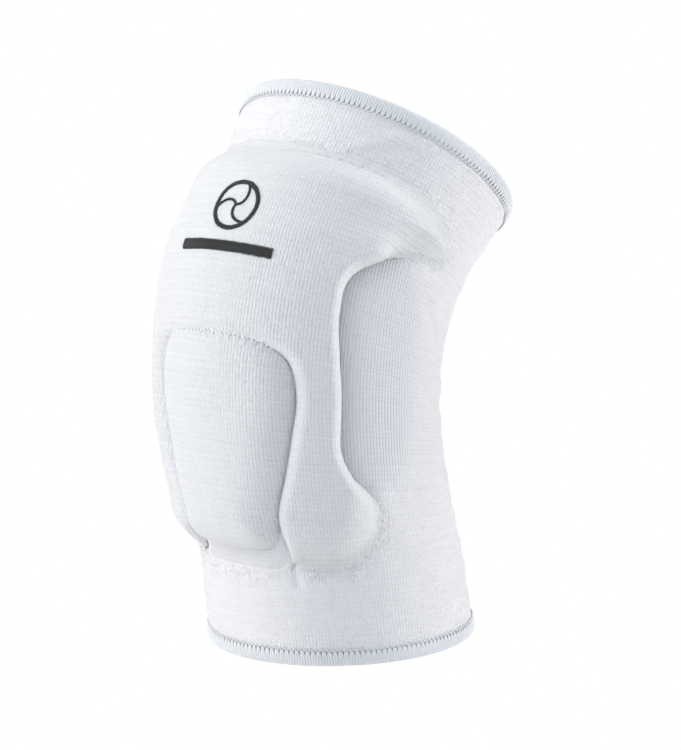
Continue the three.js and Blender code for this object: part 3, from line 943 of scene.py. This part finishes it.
def stations(line, pitch, extra=0):
    """Evenly spaced places on a line of flat points, as many as the pitch fits in and extra more:
    the distances along it, the places, and the directions out of it."""
    far = along_line(line)
    steps = np.linspace(0, far[-1], max(int(far[-1] / pitch), 2) + extra)
    middle = np.stack([np.interp(steps, far, line[:, 0]), np.interp(steps, far, line[:, 1])], -1)
    way = np.gradient(middle, axis=0)
    way /= np.linalg.norm(way, axis=1, keepdims=True)
    return steps, middle, np.stack([way[:, 1], -way[:, 0]], -1)


def laid_threads(shape, path, level, arch, thread):
    """Threads laid on the cloth along flat paths (thread, point, 2), at that level and arched over
    it, in the sizes that thread names."""
    height = level + (thread["arch"] * arch - thread["sunk"]) * MM
    points = shape.placed(path, height)
    side = np.diff(path, axis=1)[:, :1]
    beside = np.stack([side[..., 1], -side[..., 0]], -1)
    beside = shape.placed(path + beside * ASIDE["flat"], height) - points
    return tubes(points, beside, thread["thickness"] * MM, thread["width"] * MM)


def satin(line, stroke, ragged, seed):
    """Satin stitches over a stroke along a line of flat points in millimetres: evenly spaced
    threads across it, with ends that are a little ragged. Gives each thread's two ends."""
    steps, middle, out = stations(line, SATIN["pitch"])
    reach = stroke / 2 + np.random.default_rng(seed).uniform(-ragged, ragged, (2, len(steps), 1))
    return np.stack([middle - out * reach[0], middle + out * reach[1]], 1)


def motif_ends():
    """The ends of the motif's threads, in millimetres from the ball's middle: the ball is a ring,
    its seams are three curves that swing round from its middle, and the bar lies under it."""
    turn = np.linspace(0, 2 * math.pi, 90)
    ring = BALL_RADIUS * np.stack([np.cos(turn), np.sin(turn)], -1)
    parts = [satin(ring, BALL_STROKE, 0.12, 1)]
    reach = np.linspace(0.02, 1, 20)
    for third in range(3):
        swing = (third * 120 + SEAM_SWING * reach) * DEGREE
        curve = BALL_RADIUS * reach[:, None] * np.stack([np.cos(swing), np.sin(swing)], -1)
        parts.append(satin(curve, SEAM_STROKE, 0.1, 2 + third))
    half = BAR_LENGTH / 2
    bar = np.stack([np.linspace(-half, half, 30), np.full(30, -BAR_DROP)], -1)
    parts.append(satin(bar, BAR_HEIGHT, 0.15, 9))
    return np.concatenate(parts)


def motif_threads(shape, flat, top):
    """The motif's threads laid on the horseshoe's top: each rises over its middle as a half
    ellipse and goes down into the cover at its ends."""
    ends = motif_ends() * MM + shape.laid_out(0, MOTIF_ALONG)
    share = np.linspace(0, 1, THREAD_POINTS)[None, :, None]
    path = ends[:, :1] * (1 - share) + ends[:, 1:] * share
    width = np.abs(path[..., 0])
    level = heights_at(np.stack([width, path[..., 1]], -1).reshape(-1, 2), flat, top).reshape(width.shape)
    arch = np.sqrt(1 - (2 * share[..., 0] - 1) ** 2)
    return [laid_threads(shape, path, level, arch, SATIN)]


def rim_line(shape, first, last):
    """The horseshoe's sewn rim on one side, from one row of its table to another."""
    at, _, outer = arm_edges(shape)
    flange = between_rows(ARM["flange"], at)[:, None] * MM
    rim = outer + outward_directions(outer) * flange * 0.8
    return rim[first * LINES_PER_ROW : last * LINES_PER_ROW + 1]


def seam_stitches(shape, line, lift):
    """Zigzag stitches along a line of flat points: each thread crosses it from one side to the
    other, arched a little over the knit."""
    steps, middle, out = stations(line, ZIGZAG["pitch"] * MM, 1)
    turn = np.where(np.arange(len(steps)) % 2, 1, -1)[:, None]
    needle = middle + out * turn * ZIGZAG["sway"] * MM
    share = np.linspace(0, 1, THREAD_POINTS)[None, :, None]
    path = needle[:-1, None] * (1 - share) + needle[1:, None] * share
    level = np.interp(0.5 * (steps[1:] + steps[:-1]), along_line(line), lift)[:, None]
    return laid_threads(shape, path, level, np.sin(math.pi * share[..., 0]), ZIGZAG)


# Materials.


class Nodes:
    """Adds linked nodes to a node tree."""

    def __init__(self, tree):
        self.tree = tree

    def add(self, kind, inputs=(), **settings):
        """A node of that kind. inputs maps socket names or numbers to values or other sockets."""
        node = self.tree.nodes.new(kind)
        for name, value in settings.items():
            setattr(node, name, value)
        for key, value in dict(inputs).items():
            if isinstance(value, bpy.types.NodeSocket):
                self.tree.links.new(value, node.inputs[key])
            else:
                node.inputs[key].default_value = value
        return node

    def math(self, operation, *values):
        """The result of a Math node on one to three values or sockets."""
        return self.add("ShaderNodeMath", dict(enumerate(values)), operation=operation).outputs[0]

    def plus(self, a, b):
        """a + b."""
        return self.math("ADD", a, b)

    def minus(self, a, b):
        """a - b."""
        return self.math("SUBTRACT", a, b)

    def times(self, a, b):
        """a * b."""
        return self.math("MULTIPLY", a, b)

    def scaled(self, a, b, c):
        """a * b + c."""
        return self.math("MULTIPLY_ADD", a, b, c)

    def noise(self, place, scale, detail, roughness=0.5):
        """A noise texture's value at a place."""
        inputs = {"Vector": place, "Scale": scale, "Detail": detail, "Roughness": roughness}
        return self.add("ShaderNodeTexNoise", inputs).outputs[0]

    def mix(self, share, a, b):
        """A mix of two colours by a share."""
        node = self.add("ShaderNodeMix", {"Factor": share, 6: a, 7: b}, data_type="RGBA")
        return node.outputs[2]


def new_group(name, numbers):
    """A node group that takes the lay of the cloth and those numbers, and gives a height and a
    shade. Comes with its Nodes and its inputs."""
    group = bpy.data.node_groups.new(name, "ShaderNodeTree")
    face = group.interface
    face.new_socket("Lay", in_out="INPUT", socket_type="NodeSocketVector")
    for number, value in numbers.items():
        socket = face.new_socket(number, in_out="INPUT", socket_type="NodeSocketFloat")
        socket.default_value = value
    for result in ("Height", "Shade"):
        face.new_socket(result, in_out="OUTPUT", socket_type="NodeSocketFloat")
    nodes = Nodes(group)
    return group, nodes, nodes.add("NodeGroupInput").outputs


def knit_group():
    """The knit's pattern from the lay of the cloth in metres: wales are rounded ribs up the leg, and
    each is a column of stitches whose courses bend into chevrons. Fine lines of inlaid elastic run
    across, with brighter floats where they show. Speckle is how unevenly the stitches are pulled:
    each stands out by its own random share, and the yarn has a fine grain."""
    known = bpy.data.node_groups.get("Knitted Fabric")
    if known:
        return known
    group, nodes, entry = new_group("Knitted Fabric", KNIT)
    lay = nodes.add("ShaderNodeSeparateXYZ", {0: entry["Lay"]}).outputs

    wander = nodes.noise(entry["Lay"], KNIT_NOISE["wander"], 2.0)
    shift = nodes.times(nodes.minus(wander, 0.5), entry["Wander"])
    wale = nodes.plus(nodes.math("DIVIDE", lay[0], entry["Wale Pitch"]), shift)
    across = nodes.math("ABSOLUTE", nodes.minus(nodes.math("FRACT", wale), 0.5))
    across = nodes.times(across, 2.0)
    round_rib = nodes.math("SQRT", nodes.minus(1.0, nodes.times(across, across)))
    rib = nodes.minus(1.0, nodes.times(nodes.minus(1.0, round_rib), entry["Wale Depth"]))

    course = nodes.math("DIVIDE", lay[1], entry["Course Pitch"])
    course = nodes.plus(course, nodes.times(across, CHEVRON))
    loop = nodes.math("COSINE", nodes.times(course, 2 * math.pi))
    loop = nodes.scaled(loop, 0.5, 0.5)

    floats = nodes.noise(entry["Lay"], KNIT_NOISE["floats"], 1.0)
    inlay = nodes.plus(nodes.math("DIVIDE", lay[1], entry["Inlay Pitch"]), shift)
    inlay = nodes.math("COSINE", nodes.times(inlay, 2 * math.pi))
    inlay = nodes.math("POWER", nodes.scaled(inlay, 0.5, 0.5), 3.0)
    inlay = nodes.times(inlay, nodes.times(floats, 1.6))

    height = nodes.times(rib, nodes.minus(1.0, entry["Course Depth"]))
    height = nodes.plus(height, nodes.times(nodes.times(rib, loop), entry["Course Depth"]))
    height = nodes.plus(height, nodes.times(inlay, entry["Inlay Depth"]))

    row = nodes.math("FLOOR", nodes.plus(course, 0.5))
    stitch = nodes.add("ShaderNodeCombineXYZ", {0: nodes.math("FLOOR", wale), 1: row}).outputs[0]
    pull = nodes.add("ShaderNodeTexWhiteNoise", {"Vector": stitch}, noise_dimensions="2D").outputs["Value"]
    pull = nodes.times(nodes.scaled(pull, 2.0, -1.0), nodes.times(round_rib, loop))
    grain = nodes.noise(entry["Lay"], KNIT_NOISE["grain"], 2.0, 0.6)
    grain = nodes.scaled(pull, 0.9, nodes.scaled(grain, 1.6, -0.8))
    height = nodes.plus(height, nodes.times(grain, entry["Speckle"]))

    shade = nodes.times(height, nodes.scaled(floats, 0.4, 0.8))
    shade = nodes.math("MINIMUM", nodes.math("MAXIMUM", shade, 0.0), 1.0)
    nodes.add("NodeGroupOutput", {"Height": height, "Shade": shade})
    return group


def yarn_group():
    """Twisted yarn from a strand's own lay: slanted plies along it, in a rounded height and a
    shade."""
    known = bpy.data.node_groups.get("Twisted Yarn")
    if known:
        return known
    group, nodes, entry = new_group("Twisted Yarn", {"Twist": 1.6})
    lay = nodes.add("ShaderNodeSeparateXYZ", {0: entry["Lay"]}).outputs
    ply = nodes.plus(nodes.times(lay[1], entry["Twist"]), nodes.times(lay[0], 2.0))
    ply = nodes.math("ABSOLUTE", nodes.math("SINE", nodes.times(ply, math.pi)))
    fray = nodes.noise(entry["Lay"], 3.0, 3.0)
    shade = nodes.scaled(fray, 0.5, nodes.times(ply, 0.5))
    nodes.add("NodeGroupOutput", {"Height": nodes.math("SQRT", ply), "Shade": shade})
    return group


def new_material(name):
    """An empty node material and its Nodes."""
    material = bpy.data.materials.new(name)
    material.use_nodes = True
    material.node_tree.nodes.clear()
    return material, Nodes(material.node_tree)


def patterned(nodes, group):
    """A pattern group's node, fed with the lay of the cloth."""
    fabric = nodes.add("ShaderNodeGroup", node_tree=group)
    lay = nodes.add("ShaderNodeUVMap", uv_map=PATTERN_UV).outputs[0]
    nodes.tree.links.new(lay, fabric.inputs["Lay"])
    return fabric


def bumped(nodes, height, distance, strength):
    """The normal that a height gives, raised by a distance in millimetres."""
    inputs = {"Height": height, "Distance": distance * MM, "Strength": strength}
    return nodes.add("ShaderNodeBump", inputs).outputs[0]


def surfaced(nodes, inputs):
    """Ends a material's nodes in a plain surface with those inputs."""
    shader = nodes.add("ShaderNodeBsdfPrincipled", inputs)
    nodes.add("ShaderNodeOutputMaterial", {"Surface": shader.outputs[0]})


def darker(colour, share):
    """A colour with that share of its value left, as RGBA."""
    return (*(channel * share for channel in colour), 1.0)


def knit_material(name, colour, pattern, bump, valley, panel=None):
    """White stretch knit: the pattern group sets a shaded colour and the bump, with a soft cloudy
    variation over the whole piece, and the sheen is the fuzz of the yarn. Where the knit lies low, in
    the wales' valleys and between the courses, the colour falls to the valley share: painted shade,
    with the stitches' random pull and the brighter floats as the yarn's own tone. Along the seams the
    crumples are painted darker and lighter, as their shade and highlight, besides their bump. With a
    panel, the wales stand out fully in the ribbed panel and have only that share of their depth
    elsewhere, where the yarn is more uneven, and in the panel the white is painted a cooler, darker
    shade."""
    material, nodes = new_material(name)
    fabric = patterned(nodes, knit_group())
    for key, value in pattern.items():
        fabric.inputs[key].default_value = value
    place = nodes.add("ShaderNodeTexCoord").outputs["Object"]
    full = darker(colour, 1.0)
    if panel is not None:
        mask = nodes.add("ShaderNodeAttribute", attribute_name=PANEL_MASK).outputs["Fac"]
        depth = nodes.scaled(mask, PANEL_WALE_DEPTH - panel, panel)
        speckle = nodes.scaled(mask, -0.5 * pattern["Speckle"], pattern["Speckle"])
        nodes.tree.links.new(depth, fabric.inputs["Wale Depth"])
        nodes.tree.links.new(speckle, fabric.inputs["Speckle"])
        # Painted shade: in the ribbed panel the white is cooler and darker.
        cool = (*(channel * share for channel, share in zip(colour, PANEL_SHADE)), 1.0)
        full = nodes.mix(mask, full, cool)
    # Painted shade and highlight of the crinkles along the seams: the crumple noise darkens and lightens the
    # shade there.
    sewn = nodes.add("ShaderNodeAttribute", attribute_name=SEAM_MASK).outputs["Fac"]
    crumple = nodes.times(nodes.minus(nodes.noise(place, CRUMPLE["scale"], 2.0), 0.5), sewn)
    shade = nodes.scaled(crumple, CRUMPLE["shade"], fabric.outputs["Shade"])
    # Low places take the darker valley colour: painted shade, varied by the yarn's own tone.
    yarn = nodes.mix(nodes.math("MAXIMUM", shade, 0.0), darker(colour, valley), full)
    cloud = nodes.noise(place, CLOUD["scale"], 3.0)
    cloudy = nodes.mix(nodes.times(cloud, CLOUD["share"]), yarn, darker(colour, CLOUD["dark"]))
    height = nodes.scaled(crumple, CRUMPLE["height"], fabric.outputs["Height"])
    height = nodes.scaled(nodes.noise(place, FUZZ["scale"], 2.0), FUZZ["height"], height)
    surface = {
        "Base Color": cloudy,
        "Roughness": nodes.scaled(cloud, 0.1, 0.8),
        "Normal": bumped(nodes, height, bump, 1.0),
        "Sheen Weight": 0.25,
        "Sheen Roughness": 0.5,
    }
    surfaced(nodes, surface)
    return material


def thread_material(name, colour, dark, bump, roughness):
    """Sewing thread: twisted plies in the bump, with painted shade between them and a random fray in its
    tone.
    """
    material, nodes = new_material(name)
    yarn = patterned(nodes, yarn_group()).outputs
    surface = {
        "Base Color": nodes.mix(yarn["Shade"], darker(colour, dark), darker(colour, 1.0)),
        "Roughness": nodes.scaled(yarn["Shade"], 0.1, roughness),
        "Normal": bumped(nodes, yarn["Height"], bump, 0.7),
        "Sheen Weight": 0.15,
    }
    surfaced(nodes, surface)
    return material


def material_of(name, make):
    """The material of that name, made the first time it is asked for."""
    return bpy.data.materials.get(name) or make(name)


def elastic_knit(colours):
    """The sleeve's knit: plain wales with inlaid elastic, deeper in the ribbed panels."""
    pattern = {
        "Wale Pitch": 1.36 * MM,
        "Course Pitch": 1.7 * MM,
        "Inlay Pitch": 2.4 * MM,
        "Course Depth": 0.5,
        "Inlay Depth": 0.25,
        "Wander": 0.2,
        "Speckle": 0.26,
    }
    return material_of(
        "ribbed_elastic",
        lambda name: knit_material(name, colours.sleeve, pattern, bump=0.4, valley=0.87, panel=0.75),
    )


def band_knit(colours):
    """The hems' rolled knit under the overlocking, dark and with deep dark valleys: painted shade between
    the strands.
    """
    pattern = {"Wale Pitch": 1.08 * MM, "Course Pitch": 1.0 * MM, "Course Depth": 0.2, "Inlay Depth": 0.0}
    return material_of(
        "hem_knit",
        lambda name: knit_material(name, colours.band, pattern, bump=0.25, valley=0.6),
    )


def pad_knit(colours):
    """The pads' cover: a tighter knit with lines of inlay across."""
    pattern = {
        "Wale Pitch": 1.3 * MM,
        "Course Pitch": 1.7 * MM,
        "Inlay Pitch": 2.4 * MM,
        "Course Depth": 0.45,
        "Inlay Depth": 0.35,
        "Wander": 0.25,
        "Wale Depth": 0.9,
        "Speckle": 0.4,
    }
    return material_of(
        "cushion_knit",
        lambda name: knit_material(name, colours.pads, pattern, bump=0.29, valley=0.83),
    )


def overlock_thread(colours):
    """The white thread over the hems' edges."""
    return material_of(
        "white_thread",
        lambda name: thread_material(name, colours.thread, dark=0.85, bump=0.03, roughness=0.62),
    )


def seam_thread(colours):
    """The whiter thread of the seam between the two pads."""
    return material_of(
        "seam_thread",
        lambda name: thread_material(name, colours.seam, dark=0.9, bump=0.03, roughness=0.6),
    )


def motif_thread(colours):
    """The black rayon thread of the motif."""
    return material_of(
        "black_thread",
        lambda name: thread_material(name, colours.motif, dark=0.5, bump=0.08, roughness=0.42),
    )


# Settings.


class KneePadSizes(bpy.types.PropertyGroup):
    """The knee pad's sizes."""

    sleeve_length: FloatProperty(
        name="Sleeve length", description="Hem to hem down the front", default=0.235, unit="LENGTH"
    )
    knee_radius: FloatProperty(
        name="Knee radius", description="Outer face of the sleeve at the knee", default=0.053, unit="LENGTH"
    )
    wall: FloatProperty(
        name="Knit", description="Thickness of the elastic knit", default=0.0022, unit="LENGTH"
    )
    hem_height: FloatProperty(
        name="Hem height",
        description="From each hem's edge to its needle holes",
        default=0.0073,
        unit="LENGTH",
    )
    hem_thickness: FloatProperty(
        name="Hem thickness", description="Thickness of each hem", default=0.0036, unit="LENGTH"
    )
    pad_thickness: FloatProperty(
        name="Pad thickness", description="Foam and cover of the horseshoe", default=0.0126, unit="LENGTH"
    )
    crown: FloatProperty(
        name="Knee pad crown",
        description="How far the knee pad stands out more",
        default=0.0002,
        unit="LENGTH",
    )
    cover_thickness: FloatProperty(
        name="Cover", description="Thickness of the pads' cover", default=0.0012, unit="LENGTH"
    )
    seat_gap: FloatProperty(
        name="Seat gap", description="Gap between the pads and the sleeve", default=0.0004, unit="LENGTH"
    )
    crease_gap: FloatProperty(
        name="Crease", description="Gap between the two pads", default=0.00008, unit="LENGTH"
    )
    arm_roll: FloatProperty(
        name="Arm rounding", description="Rounding of the mouth's edge", default=0.006, unit="LENGTH"
    )
    knee_roll: FloatProperty(
        name="Knee pad rounding", description="Rounding of the knee pad's edge", default=0.015, unit="LENGTH"
    )
    stitch_pitch: FloatProperty(
        name="Overlock pitch",
        description="From one overlock stitch to the next",
        default=0.00216,
        unit="LENGTH",
    )
    strand: FloatProperty(
        name="Thread", description="Thickness of the overlock thread", default=0.00062, unit="LENGTH"
    )


class KneePadColours(bpy.types.PropertyGroup):
    """The knee pad's colours."""

    sleeve: FloatVectorProperty(
        name="Sleeve", description="Elastic knit", default=(0.85, 0.828, 0.855), subtype="COLOR"
    )
    pads: FloatVectorProperty(
        name="Pads", description="Knitted covers", default=(0.76, 0.753, 0.775), subtype="COLOR"
    )
    thread: FloatVectorProperty(
        name="Thread", description="Overlocking of the hems", default=(0.75, 0.76, 0.785), subtype="COLOR"
    )
    # Painted shade: the hem bands' dark colour stands for the shadow in the gaps between the overlock
    # strands.
    band: FloatVectorProperty(
        name="Hem bands",
        description="Knit in the shade under the overlocking",
        default=(0.5, 0.515, 0.54),
        subtype="COLOR",
    )
    seam: FloatVectorProperty(
        name="Seam", description="Stitches of the seam", default=(0.88, 0.88, 0.9), subtype="COLOR"
    )
    motif: FloatVectorProperty(
        name="Motif", description="Embroidered motif", default=(0.006, 0.006, 0.007), subtype="COLOR"
    )
    floor: FloatVectorProperty(
        name="Floor", description="Studio floor", default=(0.93, 0.93, 0.94), subtype="COLOR"
    )


class KneePadStudio(bpy.types.PropertyGroup):
    """The camera and the lights."""

    azimuth: FloatProperty(
        name="Azimuth",
        description="Where the camera stands round the pad",
        default=43 * DEGREE,
        subtype="ANGLE",
    )
    elevation: FloatProperty(
        name="Elevation", description="How high the camera stands", default=9.5 * DEGREE, subtype="ANGLE"
    )
    distance: FloatProperty(
        name="Distance", description="From the camera to the pad", default=1.5, unit="LENGTH"
    )
    lens: FloatProperty(
        name="Lens", description="Focal length in millimetres", default=182.5, subtype="DISTANCE_CAMERA"
    )
    floor_drop: FloatProperty(
        name="Floor", description="From the knee down to the floor", default=0.48, unit="LENGTH"
    )
    lamp_size: FloatProperty(
        name="Lamp size", description="Side of each square lamp", default=1.0, unit="LENGTH"
    )
    brightness: FloatProperty(
        name="Brightness",
        description="Share of the lamps' power",
        default=1.0,
        min=0.0,
    )


# Operators.


class OBJECT_OT_knee_pad_sleeve(bpy.types.Operator):
    """Makes the elastic knit sleeve."""

    bl_idname = "object.knee_pad_sleeve"
    bl_label = "Sleeve"

    def execute(self, context):
        """Builds the tube, which ends inside the two hems."""
        sizes, colours = context.scene.knee_pad_sizes, context.scene.knee_pad_colours
        shape = Shape(sizes)
        mesh = mesh_from_grids("sleeve_knit", sleeve_grids(shape, sizes.hem_height * SLEEVE_END))
        add_panel_mask(mesh, shape, RIBBED_PANEL)
        add_seam_mask(mesh, shape, shape.radius)
        piece = piece_from_mesh(mesh, elastic_knit(colours))
        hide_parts("sleeve")
        return {"FINISHED"}


class OBJECT_OT_knee_pad_hems(bpy.types.Operator):
    """Makes the two overlocked hems."""

    bl_idname = "object.knee_pad_hems"
    bl_label = "Hems"

    def execute(self, context):
        """Builds each hem's band and the strands of thread over its edge."""
        sizes, colours = context.scene.knee_pad_sizes, context.scene.knee_pad_colours
        shape = Shape(sizes)
        half = sizes.hem_height / 2 / shape.length
        around = np.linspace(0, 360, HEM_AROUND + 1)
        for node, middle, inward in (("bottom_hem", half, 1), ("top_hem", 1 - half, -1)):
            girth = np.linalg.norm(np.diff(shape.on_leg(around, middle, 0), axis=0), axis=1).sum()
            band_height = sizes.hem_height * BAND_HEIGHT
            band_thickness = sizes.hem_thickness - BAND_THINNING * sizes.strand
            ring = hem_ring(shape, middle, band_height, band_thickness, around)
            band = piece_from_mesh(mesh_from_grids(node + "_band", [ring]), band_knit(colours))
            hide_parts(node)
            height = sizes.hem_height - sizes.strand
            thickness = sizes.hem_thickness - sizes.strand / 2
            stitches = round(girth / sizes.stitch_pitch)
            strands = hem_strands(shape, middle, inward, height, thickness, stitches, sizes.strand)
            strands += hem_arches(shape, middle, inward, height, stitches, sizes.strand)
            thread = piece_from_mesh(mesh_from_tubes(node + "_overlock", strands), overlock_thread(colours))
        return {"FINISHED"}


class OBJECT_OT_knee_pad_horseshoe(bpy.types.Operator):
    """Makes the horseshoe pad under its knitted cover."""

    bl_idname = "object.knee_pad_horseshoe"
    bl_label = "Horseshoe pad"

    def execute(self, context):
        """Builds both arms and the top as one closed cushion."""
        sizes, colours = context.scene.knee_pad_sizes, context.scene.knee_pad_colours
        shape = Shape(sizes)
        grids = horseshoe_grids(shape, *horseshoe_heights(shape, sizes.arm_roll))
        mesh = mesh_from_grids("horseshoe_cover", grids)
        add_seam_mask(mesh, shape, shape.wrap)
        piece = piece_from_mesh(mesh, pad_knit(colours))
        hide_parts("horseshoe_pad")
        return {"FINISHED"}


class OBJECT_OT_knee_pad_knee(bpy.types.Operator):
    """Makes the pad in the horseshoe's mouth."""

    bl_idname = "object.knee_pad_knee"
    bl_label = "Knee pad"

    def execute(self, context):
        """Builds the crowned cushion over the kneecap."""
        sizes, colours = context.scene.knee_pad_sizes, context.scene.knee_pad_colours
        shape = Shape(sizes)
        mesh = mesh_from_grids("knee_cover", knee_pad_grids(shape, sizes.knee_roll, sizes.crown))
        add_seam_mask(mesh, shape, shape.wrap)
        piece = piece_from_mesh(mesh, pad_knit(colours))
        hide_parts("knee_pad")
        return {"FINISHED"}


class OBJECT_OT_knee_pad_seams(bpy.types.Operator):
    """Makes the zigzag stitches of the seams."""

    bl_idname = "object.knee_pad_seams"
    bl_label = "Seams"

    def execute(self, context):
        """Sews the two covers together along the mouth's top edge."""
        sizes, colours = context.scene.knee_pad_sizes, context.scene.knee_pad_colours
        shape = Shape(sizes)
        at, inner, _ = arm_edges(shape)
        top_rows = slice(round(ZIGZAG_FIRST_ROW * LINES_PER_ROW), MEETING_ROW * LINES_PER_ROW + 1)
        keep = between_rows(ARM["keep"], at)[top_rows]
        mouth_level = shape.seat + shape.cover + (shape.pad - shape.cover) * keep
        groups = [seam_stitches(shape, inner[top_rows] * (side, 1), mouth_level) for side in (1, -1)]
        thread = piece_from_mesh(mesh_from_tubes("seam_stitches", groups), seam_thread(colours))
        return {"FINISHED"}


class OBJECT_OT_knee_pad_motif(bpy.types.Operator):
    """Embroiders the plain motif on the front."""

    bl_idname = "object.knee_pad_motif"
    bl_label = "Motif"

    def execute(self, context):
        """Lays satin stitches on the horseshoe's top."""
        sizes, colours = context.scene.knee_pad_sizes, context.scene.knee_pad_colours
        shape = Shape(sizes)
        threads = motif_threads(shape, *horseshoe_heights(shape, sizes.arm_roll))
        piece_from_mesh(mesh_from_tubes("front_motif", threads), motif_thread(colours))
        return {"FINISHED"}


class SCENE_OT_knee_pad_studio(bpy.types.Operator):
    """Sets up the floor, the lights and the camera."""

    bl_idname = "scene.knee_pad_studio"
    bl_label = "Studio"

    def execute(self, context):
        """Stands the camera where the photograph was taken, with soft lamps from the left, the front,
        the right and above, on a floor that the camera sees as white."""
        scene, studio = context.scene, context.scene.knee_pad_studio
        turn, rise = studio.azimuth, studio.elevation
        back = Vector((math.sin(turn) * math.cos(rise), -math.cos(turn) * math.cos(rise), math.sin(rise)))
        right = Vector((math.cos(turn), math.sin(turn), 0))
        up = back.cross(right)
        target = Vector(LOOK_AT)
        place = target + back * studio.distance
        aim = target + right * AIM_RIGHT + up * AIM_UP

        camera = bpy.data.objects.new("camera", bpy.data.cameras.new("camera"))
        camera.data.lens = studio.lens
        camera.data.sensor_width = SENSOR_WIDTH
        camera.location = place
        camera.rotation_mode = "QUATERNION"
        camera.rotation_quaternion = (aim - place).to_track_quat("-Z", "Y")
        scene.collection.objects.link(camera)
        scene.camera = camera

        for name, lamp in LAMPS.items():
            way = (right * lamp["right"] + back * lamp["back"] + up * lamp["up"]).normalized()
            light = bpy.data.lights.new(name, "AREA")
            light.size = studio.lamp_size
            light.energy = lamp["power"] * studio.brightness
            light.color = lamp["colour"]
            stand = bpy.data.objects.new(name, light)
            stand.location = way * studio.distance
            stand.rotation_mode = "QUATERNION"
            stand.rotation_quaternion = way.to_track_quat("Z", "Y")
            scene.collection.objects.link(stand)

        floor = bpy.data.meshes.new("floor")
        corners = [(FLOOR_REACH * x, FLOOR_REACH * y) for x, y in ((-1, -1), (1, -1), (1, 1), (-1, 1))]
        floor.from_pydata([(x, y, -studio.floor_drop) for x, y in corners], [], [(0, 1, 2, 3)])
        material, nodes = new_material("studio_floor")
        colour = (*scene.knee_pad_colours.floor, 1.0)
        matt = nodes.add("ShaderNodeBsdfPrincipled", {"Base Color": colour, "Roughness": 0.9})
        white = nodes.add("ShaderNodeEmission", {"Color": (1, 1, 1, 1), "Strength": 1.0})
        seen = nodes.add("ShaderNodeLightPath").outputs["Is Camera Ray"]
        lit = nodes.add("ShaderNodeMixShader", {0: seen, 1: matt.outputs[0], 2: white.outputs[0]})
        nodes.add("ShaderNodeOutputMaterial", {"Surface": lit.outputs[0]})
        floor.materials.append(material)
        ground = bpy.data.objects.new("floor", floor)
        scene.collection.objects.link(ground)

        world = bpy.data.worlds.new("studio")
        world.use_nodes = True
        world.node_tree.nodes.clear()
        nodes = Nodes(world.node_tree)
        seen = nodes.add("ShaderNodeLightPath").outputs["Is Camera Ray"]
        soft = nodes.add("ShaderNodeBackground", {"Color": (*COOL, 1.0), "Strength": WORLD_STRENGTH})
        white = nodes.add("ShaderNodeBackground", {"Color": (1.0, 1.0, 1.0, 1.0), "Strength": 1.0})
        mixed = nodes.add("ShaderNodeMixShader", {0: seen, 1: soft.outputs[0], 2: white.outputs[0]})
        nodes.add("ShaderNodeOutputWorld", {"Surface": mixed.outputs[0]})
        scene.world = world
        scene.view_settings.view_transform = "Standard"
        return {"FINISHED"}


class VIEW3D_PT_knee_pad(bpy.types.Panel):
    """Lists the knee pad's settings and operators."""

    bl_label = "Knee Pad"
    bl_idname = "VIEW3D_PT_knee_pad"
    bl_space_type = "VIEW_3D"
    bl_region_type = "UI"
    bl_category = "Knee Pad"

    def draw(self, context):
        """Draws a box of settings for each group, and a button for each operator."""
        for group in SETTINGS:
            settings = getattr(context.scene, group)
            box = self.layout.box()
            for name in settings.__annotations__:
                box.prop(settings, name)
        for operator in OPERATORS:
            self.layout.operator(operator.bl_idname)


SETTINGS = {
    "knee_pad_sizes": KneePadSizes,
    "knee_pad_colours": KneePadColours,
    "knee_pad_studio": KneePadStudio,
}
OPERATORS = (
    SCENE_OT_knee_pad_studio,
    OBJECT_OT_knee_pad_sleeve,
    OBJECT_OT_knee_pad_hems,
    OBJECT_OT_knee_pad_horseshoe,
    OBJECT_OT_knee_pad_knee,
    OBJECT_OT_knee_pad_seams,
    OBJECT_OT_knee_pad_motif,
)


def register():
    """Registers the classes and adds the settings to the scene."""
    for kind in (*SETTINGS.values(), *OPERATORS, VIEW3D_PT_knee_pad):
        bpy.utils.register_class(kind)
    for name, kind in SETTINGS.items():
        setattr(bpy.types.Scene, name, PointerProperty(type=kind))


def unregister():
    """Takes the settings and the classes away again."""
    for name in SETTINGS:
        delattr(bpy.types.Scene, name)
    for kind in reversed((*SETTINGS.values(), *OPERATORS, VIEW3D_PT_knee_pad)):
        bpy.utils.unregister_class(kind)


def main():
    """Makes the studio and every piece in order."""
    register()
    bpy.ops.scene.knee_pad_studio()
    bpy.ops.object.knee_pad_sleeve()
    bpy.ops.object.knee_pad_hems()
    bpy.ops.object.knee_pad_horseshoe()
    bpy.ops.object.knee_pad_knee()
    bpy.ops.object.knee_pad_seams()
    bpy.ops.object.knee_pad_motif()


if __name__ == "__main__":
    main()
